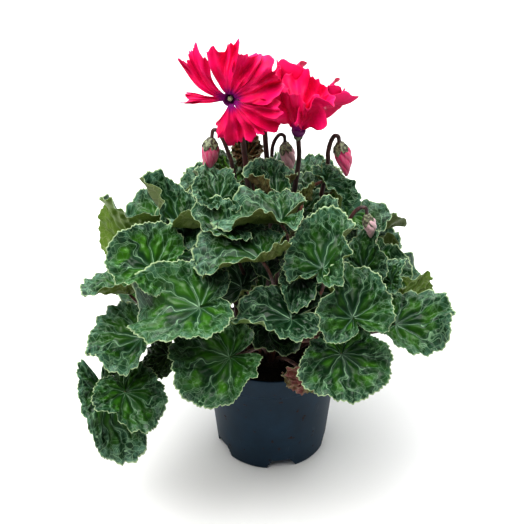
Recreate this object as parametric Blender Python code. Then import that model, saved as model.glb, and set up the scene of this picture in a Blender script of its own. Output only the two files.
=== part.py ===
"""Potted cyclamen: a nursery pot, soil, a corm, heart-shaped leaves, flowers and nodding buds.

Metres, +Z up, the pot stands on Z = 0 with its axis on Z. The front of the plant faces -Y.
Every leaf is one solid: a thin cupped blade and the stalk that carries it.
"""
import math

import bpy
import numpy as np

MM = 0.001

# pot
POT_BASE_R = 53.0
POT_RIM_R = 65.0
POT_HEIGHT = 115.0
COLLAR_HEIGHT = 22.0
COLLAR_STEP = 1.0
POT_WALL = 1.6
NOTCH_COUNT = 5
NOTCH_FIRST = -80.0
NOTCH_HALF_BOTTOM = 14.0
NOTCH_HALF_TOP = 8.4
NOTCH_HEIGHT = 10.0
NOTCH_START = 38.0
FLOOR_Z = 3.0

# soil and corm
SOIL_TOP = 103.0
SOIL_SIDES = 30
GAP = 0.3
CORM_R = 27.0
CORM_BOTTOM = 88.0
CORM_TOP = 110.0
CORM_SIDES = 24

# leaves
BLADE_THICK = 0.8
STALK_THIN = 1.5
STALK_THICK = 2.0
STALK_SIDES = 6
STALK_RINGS = 6
STEM_SIDES = 7
ROOT_SPREAD = 23.0
SECTORS = [0, 35, 70, 104, 136, 163, 180, -163, -136, -104, -70, -35]
WAVE = 14.0

# name, x, y, z of the point where blade and stalk meet, then heading, pitch and roll of the
# blade, its length and width, the upward cup of its rim, and the curl of its tip
LEAVES = [
    ("crown_front", 3, -21, 277, 130, 0, 0, 36, 52, 40, 0),
    ("upper_left", -45, -36, 282, 112, 16, 0, 33, 42, 18, 0),
    ("top_olive_left", -34, 20, 275, 160, 28, 0, 24, 32, 14, 0),
    ("top_young", -22, 20, 296, 80, 68, 0, 20, 24, 8, 0),
    ("top_dark", 38, 34, 248, 50, 12, 0, 30, 42, 14, 0),
    ("top_right_fold", 24, -24, 275, 15, 25, -50, 18, 24, 14, 0),
    ("right_shoulder", 45, -4, 283, -20, -45, 10, 32, 26, 12, 0),
    ("right_hook", 64, -22, 259, 0, 0, 10, 28, 28, 14, -80),
    ("upper_mid", 6, -64, 276, 176, -2, 2, 44, 58, 36, -60),
    ("left_mid", -38, -65, 266, 166, 6, 0, 44, 50, 24, -30),
    ("centre", -9, -92, 258, 178, -4, 4, 52, 54, 34, -50),
    ("right_centre", 39, -95, 253, 68, 32, -12, 44, 60, 24, 0),
    ("right_upper", 40, -62, 272, 62, 45, 0, 24, 24, 18, 0),
    ("right_rear", 75, -62, 231, 62, 40, 0, 32, 36, 16, 0),
    ("right_mid", 62, -115, 220, 116, 36, -4, 42, 66, 18, 0),
    ("right_small", 98, -66, 221, 40, 45, 0, 20, 22, 16, 0),
    ("right_pale", 114, -32, 181, 5, 5, -76, 32, 42, 8, 0),
    ("right_low", 101, -88, 194, -4, -2, 22, 48, 54, 8, 0),
    ("front_right", 54, -124, 191, -78, -46, 0, 38, 70, 8, 0),
    ("front_left", -35, -124, 188, -172, -18, -40, 50, 66, 8, 0),
    ("front_mid", 14, -113, 217, 182, -6, -16, 44, 52, 12, 0),
    ("left_big", -58, -114, 229, -172, -8, -22, 52, 72, 18, -35),
    ("left_front", -96, -85, 247, 150, 20, -25, 36, 64, 16, 0),
    ("left_edge", -121, -58, 204, 184, 0, 5, 40, 50, 46, -60),
    ("left_olive", -125, 0, 223, -112, 74, 0, 44, 54, -8, 0),
    ("left_upper", -76, -42, 260, 150, 20, -8, 52, 50, 18, 30),
    ("left_drop", -110, -85, 178, -165, -24, -14, 44, 62, 14, 0),
    ("left_low", -123, -112, 142, -55, -42, 0, 36, 58, 10, 0),
    ("left_tip", -143, -100, 130, -50, -58, 0, 62, 50, -6, 0),
    ("front_dark", 19, -84, 238, -84, -24, 0, 30, 32, 12, 0),
    ("front_curl", 31, -112, 157, -176, 0, 85, 24, 32, -4, 0),
    ("left_under", -90, -74, 153, -150, -40, -10, 24, 32, 8, 0),
    ("back_right", 74, 44, 184, 30, -6, 0, 48, 64, 18, 0),
    ("back_right_low", 112, 14, 150, 8, -30, 0, 46, 62, 12, 0),
    ("back_far_right", 58, 86, 172, 50, -20, 0, 50, 68, 14, 0),
    ("back_centre", -16, 104, 222, 98, -10, 0, 50, 68, 18, 0),
    ("back_centre_high", 30, 74, 226, 64, 8, 0, 44, 60, 20, 0),
    ("back_far_left", -56, 88, 168, 128, -20, 0, 52, 70, 14, 0),
    ("back_left_high", -48, 52, 230, 132, 8, 0, 44, 60, 20, 0),
    ("back_left", -98, 58, 206, 150, -18, 0, 48, 66, 16, 0),
    ("back_low", 2, 96, 160, 88, -8, 0, 50, 76, 10, 0),
]

# flower stems: name, radius, and the points of the stem from its foot to its head
STEMS = [
    ("stem_left_flower", 2.2, [(-8, 2), (-20, -5, 262), (-25, 0, 318), (-27, 7, 345), (-29, 9, 360), (-31, 6, 366), (-33, 1, 364)]),
    ("stem_right_flower", 2.2, [(2, 6), (9, 14, 190), (18, 11, 260), (22, 6, 298), (21, 1, 319.5)]),
    ("stem_rear_flower", 2.4, [(2, 15), (-2, 31, 245), (-6, 30, 300), (-7, 33, 317)]),
    ("stem_left_bud", 1.7, [(-11, -4), (-31, -6, 276), (-38, -3, 311), (-45, -3, 328), (-49.5, -3, 330), (-51, -3, 323)]),
    ("stem_mid_bud", 1.6, [(-1, 2), (-2, 16, 240), (-1, 20, 286), (0, 22, 304), (5, 22, 314), (9.5, 22, 313.5), (10.5, 22, 307.5)]),
    ("stem_right_bud", 1.9, [(12, 4), (44, 12, 270), (47, 11, 304), (50.5, 10, 317.5), (54.5, 9, 319), (56, 9, 313.5)]),
    ("stem_small_bud", 1.6, [(15, -5), (52, -40, 240), (64, -45, 272), (70, -47, 281), (75, -48, 281.5), (76.3, -48, 276)]),
]

# buds: name, the stem that carries it, length, radius
BUDS = [
    ("bud_left", "stem_left_bud", 24, 8.0),
    ("bud_mid", "stem_mid_bud", 23, 7.0),
    ("bud_right", "stem_right_bud", 24, 8.0),
    ("bud_small", "stem_small_bud", 14, 6.0),
]
CALYX_LENGTH = 9.0

# flowers: name, stem, mouth, axis of the fan, and for every petal its turn about the axis,
# length, half-width in degrees and slope away from the axis
FLOWERS = [
    ("petals_left", (-35, -14, 362), (-0.15, -1.0, 0.1), [
        (277, 34, 32, 96), (334, 42, 30, 100), (40, 48, 34, 108), (94, 46, 32, 108), (156, 43, 24, 102)]),
    ("petals_right", (21, 0, 329), (0.12, 0.1, 1.0), [
        (250, 42, 34, 38), (322, 44, 34, 40), (20, 50, 32, 48), (95, 42, 34, 34), (172, 42, 34, 40)]),
    ("petals_rear", (-7, 35, 328), (0.1, 0.35, 1.0), [
        (250, 40, 34, 26), (322, 44, 34, 30), (30, 46, 34, 34), (100, 44, 34, 40), (175, 40, 34, 32)]),
]
PETAL_THICK = 1.0


# ---------------------------------------------------------------- small helpers

def unit(v):
    """Return v at length one."""
    return v / np.linalg.norm(v)


def bezier(p0, p1, p2, p3, count):
    """Return count points of a cubic curve from p0 to p3."""
    t = np.linspace(0.0, 1.0, count)[:, None]
    return (1 - t) ** 3 * p0 + 3 * (1 - t) ** 2 * t * p1 + 3 * (1 - t) * t * t * p2 + t ** 3 * p3


def smooth_path(points, per_span):
    """Return a smooth curve through the points (Catmull-Rom spans)."""
    pts = [np.array(p, float) for p in points]
    pts = [2 * pts[0] - pts[1]] + pts + [2 * pts[-1] - pts[-2]]
    out = []
    for a, b, c, d in zip(pts, pts[1:], pts[2:], pts[3:]):
        for t in np.arange(per_span) / per_span:
            out.append(0.5 * (2 * b + (c - a) * t + (2 * a - 5 * b + 4 * c - d) * t * t
                              + (3 * b - a - 3 * c + d) * t ** 3))
    out.append(pts[-2])
    return np.array(out)


def tube_rings(path, radii, sides, first_u):
    """Return one ring of points per path point, turned as little as possible along the way."""
    tangent = np.gradient(path, axis=0)
    turn = np.arange(sides) * 2 * math.pi / sides
    u = first_u
    rings = []
    for point, along, radius in zip(path, tangent, radii):
        along = unit(along)
        u = unit(u - along * (u @ along))
        v = np.cross(along, u)
        rings.append(point + radius * (np.cos(turn)[:, None] * u + np.sin(turn)[:, None] * v))
    return rings


def ring_faces(first, second, count):
    """Return the quads that join two rings of the same count."""
    return [(first + i, first + (i + 1) % count, second + (i + 1) % count, second + i)
            for i in range(count)]


def corm_height(r):
    """Return the height of the corm's top at radius r."""
    middle = 98.0
    return middle + (CORM_TOP - middle) * math.sqrt(max(0.0, 1 - (r / CORM_R) ** 2))


# ---------------------------------------------------------------- leaf shape

def leaf_frame(heading, pitch, roll):
    """Return the tip direction, the left-hand side and the upper normal of a blade as rows."""
    h, p, r = (math.radians(a) for a in (heading, pitch, roll))
    tip = np.array([math.cos(h) * math.cos(p), math.sin(h) * math.cos(p), math.sin(p)])
    side = np.array([-math.sin(h), math.cos(h), 0.0])
    upper = np.cross(tip, side)
    side = side * math.cos(r) + upper * math.sin(r)
    return np.array([tip, side, np.cross(tip, side)])


def leaf_outline(turn, length, width):
    """Return radius and true angle of the heart-shaped rim at the given turns from the tip."""
    away = np.abs(turn)
    r = (0.80 + 0.20 * np.cos(away)) * (1 - np.exp(-((math.pi - away) / 0.26) ** 1.4))
    x = r * np.cos(away)
    y = r * np.sin(away) * width / (1.60 * length)
    return length * np.maximum(np.hypot(x, y), 0.06), np.arctan2(y, x) * np.sign(turn + 1e-9)


def leaf_slopes(turn, cup, curl):
    """Return the slope of the blade at its middle and at its rim for every turn."""
    rim = cup + curl * ((1 + np.cos(turn)) / 2) ** 2 + WAVE * np.sin(3 * turn + cup)
    return math.radians(1) * np.full_like(turn, 0.6 * cup), np.radians(rim)


def leaf_ring(turn, angle, reach, s, slopes, drop):
    """Return points at distance s out along the blade, drop below its upper skin."""
    bend = (slopes[1] - slopes[0]) / reach
    bend = np.where(np.abs(bend) < 1e-6, 1e-6, bend)
    slope = slopes[0] + bend * s
    out = (np.sin(slope) - np.sin(slopes[0])) / bend + drop * np.sin(slope)
    up = (np.cos(slopes[0]) - np.cos(slope)) / bend - drop * np.cos(slope)
    return np.stack([out * np.cos(angle), out * np.sin(angle), up], axis=-1)


def leaf_mesh(row, foot):
    """Return vertices and faces of one leaf: blade and stalk as a single closed skin."""
    name, x, y, z, heading, pitch, roll, length, width, cup, curl = row
    turn = np.radians(SECTORS)
    count = len(SECTORS)
    reach, angle = leaf_outline(turn, length, width)
    slopes = leaf_slopes(turn, cup, curl)
    axes = leaf_frame(heading, pitch, roll)
    joint = np.array([x, y, z], float)
    near = np.minimum(2.0, 0.45 * reach)
    middle = near + 0.52 * (reach - near)
    rings = [leaf_ring(turn, angle, reach, s, slopes, d) @ axes + joint for s, d in (
        (near, 0.0), (middle, 0.0), (reach, 0.0),
        (reach, BLADE_THICK), (middle, BLADE_THICK), (near, BLADE_THICK))]
    verts = [joint] + [p for ring in rings for p in ring]
    faces = [(0, 1 + i, 1 + (i + 1) % count) for i in range(count)]
    for k in range(len(rings) - 1):
        faces += ring_faces(1 + (k + 1) * count, 1 + k * count, count)

    away = unit(-0.75 * axes[2] - 0.45 * axes[0])
    top = joint + 3.0 * away
    gap = np.linalg.norm(top - foot)
    lift = unit(np.array([foot[0] * 0.6, foot[1] * 0.6, 22.0]))
    path = bezier(top, top + away * gap * 0.22, foot + lift * gap * 0.36, foot, STALK_RINGS)
    radii = np.linspace(STALK_THIN, STALK_THICK, STALK_RINGS)
    stalk = tube_rings(path, radii, STALK_SIDES, axes[0])
    base = 1 + 5 * count
    start = len(verts)
    for ring in stalk:
        verts += [p for p in ring]
    for j in range(STALK_SIDES):
        a, b, c = base + 2 * j, base + 2 * j + 1, base + (2 * j + 2) % count
        m = (STALK_SIDES - j) % STALK_SIDES
        n = (STALK_SIDES - j - 1) % STALK_SIDES
        faces += [(start + m, b, a), (start + m, c, b), (start + m, start + n, c)]
    for k in range(STALK_RINGS - 1):
        faces += ring_faces(start + k * STALK_SIDES, start + (k + 1) * STALK_SIDES, STALK_SIDES)
    faces.append(tuple(start + (STALK_RINGS - 1) * STALK_SIDES + j for j in range(STALK_SIDES)))
    return verts, faces


def spread_feet():
    """Return the foot of every stem and leaf stalk on the corm, pushed apart to clear each other."""
    feet = []
    for name, radius, points in STEMS:
        feet.append([float(points[0][0]), float(points[0][1])])
    for row in LEAVES:
        x, y, z = row[1:4]
        flat = math.hypot(x, y)
        steep = math.atan2(z - CORM_TOP, flat) / (math.pi / 2)
        r = ROOT_SPREAD * (1 - steep) ** 0.7
        feet.append([r * x / flat, r * y / flat])
    feet = np.array(feet)
    for step in range(400):
        gaps = feet[:, None, :] - feet[None, :, :]
        dist = np.hypot(gaps[..., 0], gaps[..., 1]) + np.eye(len(feet)) * 99
        push = np.clip(5.2 - dist, 0, None) / dist
        feet = feet + 0.25 * (gaps * push[..., None]).sum(axis=1)
        far = np.hypot(feet[:, 0], feet[:, 1])
        feet = feet * np.minimum(1.0, (ROOT_SPREAD + 0.5) / far)[:, None]
    return [np.array([x, y, corm_height(math.hypot(x, y)) + 0.6]) for x, y in feet]


# ---------------------------------------------------------------- stems, buds and petals

def stem_mesh(points, radius, foot, flare):
    """Return a round stem from its foot to its head; the head flares into the calyx."""
    path = smooth_path([foot] + [np.array(p, float) for p in points], 2)
    radii = [radius] * len(path)
    radii[0] = radius * 1.15
    if flare:
        down = unit(path[-1] - path[-2])
        extra = [path[-1] + down * d for d in (3.0, CALYX_LENGTH)]
        path = np.vstack([path, extra])
        radii += [flare * 0.72, flare]
    rings = tube_rings(path, radii, STEM_SIDES, np.array([1.0, 0.3, 0.0]))
    verts = [p for ring in rings for p in ring]
    faces = []
    for k in range(len(rings) - 1):
        faces += ring_faces(k * STEM_SIDES, (k + 1) * STEM_SIDES, STEM_SIDES)
    faces.append(tuple(range(STEM_SIDES))[::-1])
    faces.append(tuple(range((len(rings) - 1) * STEM_SIDES, len(rings) * STEM_SIDES)))
    return verts, faces, path[-1], unit(path[-1] - path[-2])


def bud_mesh(head, down, length, radius):
    """Return a pointed, furled bud that hangs from the head of its stem."""
    steps = [(0.0, 0.80), (0.25, 1.0), (0.5, 0.92), (0.75, 0.6), (0.95, 0.25)]
    path = np.array([head + down * (0.4 + length * t) for t, r in steps])
    rings = tube_rings(path, [radius * r for t, r in steps], 10, np.array([1.0, 0.3, 0.0]))
    verts = [p for ring in rings for p in ring] + [head + down * (0.4 + length)]
    faces = [tuple(range(10))[::-1]]
    for k in range(len(rings) - 1):
        faces += ring_faces(k * 10, (k + 1) * 10, 10)
    last = (len(rings) - 1) * 10
    faces += [(last + i, last + (i + 1) % 10, len(verts) - 1) for i in range(10)]
    return verts, faces


def corolla_mesh(mouth, axis, petals):
    """Return the petals of one flower as a thin, deeply lobed funnel round its axis."""
    mouth = np.array(mouth, float)
    axis = unit(np.array(axis, float))
    across = unit(np.array([1.0, 0.0, 0.0]) - axis * axis[0])
    beside = np.cross(axis, across)
    turns, reaches, slopes = [], [], []
    order = sorted(petals)
    for this, after in zip(order, order[1:] + order[:1]):
        turn, length, half, slope = this
        for share, part in ((-1.0, 0.72), (-0.45, 1.0), (0.45, 0.98), (1.0, 0.7)):
            turns.append(turn + share * half)
            reaches.append(length * part)
            slopes.append(slope)
        gap = (after[0] - after[2] - turn - half) % 360
        turns.append(turn + half + gap / 2)
        reaches.append(0.3 * (length + after[1]) / 2)
        slopes.append((slope + after[3]) / 2)
    turn = np.radians(turns)
    reach = np.array(reaches)
    end = np.radians(slopes)
    start = np.minimum(end, math.radians(88))
    count = len(turn)
    rings = []
    for share, side in ((0.12, 0), (0.45, 0), (0.75, 0), (1.0, 0), (1.0, 1), (0.75, 1), (0.45, 1), (0.12, 1)):
        s = reach * share if share > 0.2 else np.full(count, 4.0)
        bend = (end - start + 1e-4) / reach
        slope = start + bend * s
        out = (np.cos(start) - np.cos(slope)) / bend + side * PETAL_THICK * np.cos(slope)
        rise = (np.sin(slope) - np.sin(start)) / bend - side * PETAL_THICK * np.sin(slope)
        ring = (mouth + axis * rise[:, None] + out[:, None]
                * (np.cos(turn)[:, None] * across + np.sin(turn)[:, None] * beside))
        rings.append(ring)
    verts = [p for ring in rings for p in ring]
    faces = [tuple(range(count))[::-1]]
    for k in range(len(rings) - 1):
        faces += ring_faces(k * count, (k + 1) * count, count)
    faces.append(tuple(range((len(rings) - 1) * count, len(rings) * count)))
    return verts, faces


# ---------------------------------------------------------------- pot, soil, corm

def lathe(profile, sides):
    """Return a closed solid of revolution from a profile that starts and ends on the axis."""
    verts = [np.array([0.0, 0.0, profile[0][1]])]
    for r, z in profile[1:-1]:
        for i in range(sides):
            a = 2 * math.pi * (i + 0.5) / sides
            verts.append(np.array([r * math.cos(a), r * math.sin(a), z]))
    verts.append(np.array([0.0, 0.0, profile[-1][1]]))
    faces = [(0, 1 + (i + 1) % sides, 1 + i) for i in range(sides)]
    for k in range(len(profile) - 3):
        faces += ring_faces(1 + k * sides, 1 + (k + 1) * sides, sides)
    last = 1 + (len(profile) - 3) * sides
    faces += [(last + i, last + (i + 1) % sides, len(verts) - 1) for i in range(sides)]
    return verts, faces


def pot_radius(z):
    """Return the outer radius of the pot's wall below the collar."""
    return POT_BASE_R + (POT_RIM_R - COLLAR_STEP - POT_BASE_R) * z / POT_HEIGHT


def pot_profile():
    """Return the section of the pot from the middle of its underside to the top of its floor."""
    low = POT_HEIGHT - COLLAR_HEIGHT
    inner = pot_radius(0) - POT_WALL
    return [(0, 0), (POT_BASE_R - 1.0, 0), (POT_BASE_R, 1.0), (pot_radius(low), low),
            (pot_radius(low) + COLLAR_STEP, low + 0.6), (POT_RIM_R, POT_HEIGHT - 0.5),
            (POT_RIM_R - 0.5, POT_HEIGHT), (POT_RIM_R - POT_WALL, POT_HEIGHT),
            (pot_radius(low) + COLLAR_STEP - POT_WALL, low + 1.5),
            (pot_radius(low) - POT_WALL, low), (inner + 0.4, FLOOR_Z), (0, FLOOR_Z)]


def notch_blocks(grow):
    """Return a trapezoid block for every notch, grown on all its inner sides."""
    low = NOTCH_HALF_BOTTOM + grow
    high = NOTCH_HALF_TOP + grow
    top = NOTCH_HEIGHT + grow
    verts, faces = [], []
    for k in range(NOTCH_COUNT):
        a = math.radians(NOTCH_FIRST + 360.0 * k / NOTCH_COUNT)
        first = len(verts)
        for x in (NOTCH_START - grow, 70.0):
            for y, z in ((-low, -1.0), (low, -1.0), (high, top), (-high, top)):
                verts.append(np.array([x * math.cos(a) - y * math.sin(a),
                                       x * math.sin(a) + y * math.cos(a), z]))
        sides = [(0, 1, 2, 3), (7, 6, 5, 4), (0, 4, 5, 1), (1, 5, 6, 2), (2, 6, 7, 3), (3, 7, 4, 0)]
        faces += [tuple(first + i for i in side) for side in sides]
    return verts, faces


def soil_profile():
    """Return the section of the soil: a shallow heap with a hollow for the corm."""
    inside = POT_WALL + GAP
    low = POT_HEIGHT - COLLAR_HEIGHT
    wall = pot_radius(low) + COLLAR_STEP - inside
    pit = []
    for k in range(5):
        a = math.radians(90 * k / 5)
        pit.append(((CORM_R + GAP) * math.cos(a), 98.0 - (98.0 - CORM_BOTTOM + GAP) * math.sin(a)))
    return ([(0, FLOOR_Z + GAP), (pot_radius(0) - inside, FLOOR_Z + GAP), (pot_radius(low - 3) - inside, low - 3),
             (wall - 0.8, low + 2.0), (wall + 0.4, SOIL_TOP - 1.5), (CORM_R + 12, SOIL_TOP),
             (CORM_R + GAP, 101.0)] + pit + [(0, CORM_BOTTOM - GAP)])


def corm_profile():
    """Return the section of the corm, a flattened ball."""
    lower = [(CORM_R * math.sin(a), 98.0 - (98.0 - CORM_BOTTOM) * math.cos(a))
             for a in np.radians([0, 30, 60, 90])]
    upper = [(CORM_R * math.cos(a), 98.0 + (CORM_TOP - 98.0) * math.sin(a))
             for a in np.radians([25, 50, 72, 90])]
    return [(0, CORM_BOTTOM)] + lower[1:] + upper[:-1] + [(0, CORM_TOP)]


# ---------------------------------------------------------------- objects

def plain_material(name, colour, roughness):
    """Return a Principled material of one colour."""
    material = bpy.data.materials.new(name)
    material.use_nodes = True
    shader = material.node_tree.nodes["Principled BSDF"]
    shader.inputs["Base Color"].default_value = (*colour, 1.0)
    shader.inputs["Roughness"].default_value = roughness
    shader.inputs["Metallic"].default_value = 0.0
    return material


def volume_of(verts, faces):
    """Return the signed volume inside a closed skin."""
    total = 0.0
    for face in faces:
        a = verts[face[0]]
        for b, c in zip(face[1:-1], face[2:]):
            total += np.dot(a, np.cross(verts[b], verts[c])) / 6
    return total


def add_solid(name, verts, faces, material, smooth=True):
    """Make one closed object from millimetre points, facing outward."""
    if volume_of(verts, faces) < 0:
        faces = [tuple(f[::-1]) for f in faces]
    mesh = bpy.data.meshes.new(name)
    mesh.from_pydata([tuple(float(c) * MM for c in p) for p in verts], [], [tuple(f) for f in faces])
    mesh.polygons.foreach_set("use_smooth", [smooth] * len(mesh.polygons))
    mesh.materials.append(material)
    obj = bpy.data.objects.new(name, mesh)
    bpy.context.scene.collection.objects.link(obj)
    return obj


def combine(target, verts, faces, operation):
    """Cut a block out of the target, add it, or keep only what lies in it."""
    cutter = add_solid("cutter", verts, faces, target.data.materials[0], False)
    cutter.hide_render = True
    cutter.display_type = 'WIRE'
    step = target.modifiers.new("step", 'BOOLEAN')
    step.operation = operation
    step.solver = 'EXACT'
    step.object = cutter
    depsgraph = bpy.context.evaluated_depsgraph_get()
    depsgraph.update()
    mesh = bpy.data.meshes.new_from_object(target.evaluated_get(depsgraph))
    target.modifiers.clear()
    target.data = mesh
    bpy.data.objects.remove(cutter, do_unlink=True)


def build_pot(material):
    """Make the pot and mould a sunk, trapezoid drainage notch into its foot five times."""
    envelope = lathe([(0, 0), (POT_BASE_R - 1.0, 0), (POT_BASE_R, 1.0), (pot_radius(30), 30), (0, 30)], 48)
    pot = add_solid("pot", *lathe(pot_profile(), 48), material)
    blocks = add_solid("blocks", *notch_blocks(POT_WALL), material)
    combine(blocks, *envelope, 'INTERSECT')
    verts = [np.array(v.co) / MM for v in blocks.data.vertices]
    faces = [tuple(p.vertices) for p in blocks.data.polygons]
    bpy.data.objects.remove(blocks, do_unlink=True)
    combine(pot, verts, faces, 'UNION')
    combine(pot, *notch_blocks(0.0), 'DIFFERENCE')
    return pot


def build_soil(material):
    """Make the soil and leave room in it for the moulded notches."""
    soil = add_solid("soil", *lathe(soil_profile(), SOIL_SIDES), material)
    combine(soil, *notch_blocks(POT_WALL + GAP), 'DIFFERENCE')
    return soil


def build_plant():
    """Make the corm, the leaves, the stems, the buds and the petals."""
    green = (0.05, 0.16, 0.05)
    young = (0.16, 0.15, 0.04)
    add_solid("corm", *lathe(corm_profile(), CORM_SIDES), plain_material("corm", (0.07, 0.045, 0.03), 0.9))
    feet = spread_feet()
    heads = {}
    for (name, radius, points), foot in zip(STEMS, feet):
        flare = 0.0
        for bud, carrier, length, wide in BUDS:
            if carrier == name:
                flare = wide * 0.82
        flare = flare or 4.2
        verts, faces, head, down = stem_mesh(points[1:], radius, foot, flare)
        heads[name] = (head, down)
        add_solid(name, verts, faces, plain_material(name, (0.09, 0.03, 0.025), 0.5))
    for row, foot in zip(LEAVES, feet[len(STEMS):]):
        name = "leaf_" + row[0]
        colour = young if row[0] in ("top_young", "top_olive_left", "left_olive") else green
        add_solid(name, *leaf_mesh(row, foot), plain_material(name, colour, 0.55))
    for name, carrier, length, radius in BUDS:
        head, down = heads[carrier]
        add_solid(name, *bud_mesh(head, down, length, radius), plain_material(name, (0.75, 0.08, 0.2), 0.5))
    for name, mouth, axis, petals in FLOWERS:
        add_solid(name, *corolla_mesh(mouth, axis, petals), plain_material(name, (0.85, 0.01, 0.09), 0.5))


def main():
    """Build every object of the part."""
    for obj in list(bpy.data.objects):
        bpy.data.objects.remove(obj, do_unlink=True)
    build_pot(plain_material("pot", (0.03, 0.045, 0.06), 0.45))
    build_soil(plain_material("soil", (0.02, 0.014, 0.01), 0.95))
    build_plant()


main()
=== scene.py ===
"""Potted cyclamen: the fine model and its finishes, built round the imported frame.

Millimetres are used for the design values and turned into metres when a mesh is made.
Every piece is a grid of points worked out with numpy and rides on the one body of the part.
"""

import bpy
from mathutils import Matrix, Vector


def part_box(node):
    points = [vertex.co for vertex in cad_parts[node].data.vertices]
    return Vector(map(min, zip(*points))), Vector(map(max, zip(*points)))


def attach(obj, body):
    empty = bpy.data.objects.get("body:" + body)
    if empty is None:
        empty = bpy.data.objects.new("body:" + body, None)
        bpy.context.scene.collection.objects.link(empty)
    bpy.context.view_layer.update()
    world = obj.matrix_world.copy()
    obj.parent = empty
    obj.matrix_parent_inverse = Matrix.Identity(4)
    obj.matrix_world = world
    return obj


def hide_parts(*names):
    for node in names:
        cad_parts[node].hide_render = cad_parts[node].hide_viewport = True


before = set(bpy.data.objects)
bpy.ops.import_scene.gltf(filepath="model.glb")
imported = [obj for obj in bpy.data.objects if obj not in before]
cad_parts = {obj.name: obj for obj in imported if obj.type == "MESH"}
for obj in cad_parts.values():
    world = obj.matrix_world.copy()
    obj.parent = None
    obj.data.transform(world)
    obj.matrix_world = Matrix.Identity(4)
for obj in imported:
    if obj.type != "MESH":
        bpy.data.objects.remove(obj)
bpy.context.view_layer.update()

import math

import bpy
import numpy as np
from mathutils import Vector

bl_info = {
    "name": "Potted cyclamen",
    "version": (1, 0, 0),
    "blender": (4, 5, 0),
    "location": "View3D > Sidebar > Cyclamen",
    "description": "Builds the leaves, flowers, buds, pot and stage of a potted cyclamen",
    "category": "Object",
}

MM = 0.001
BODY = "root"


# ---------------------------------------------------------------- design rows

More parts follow.
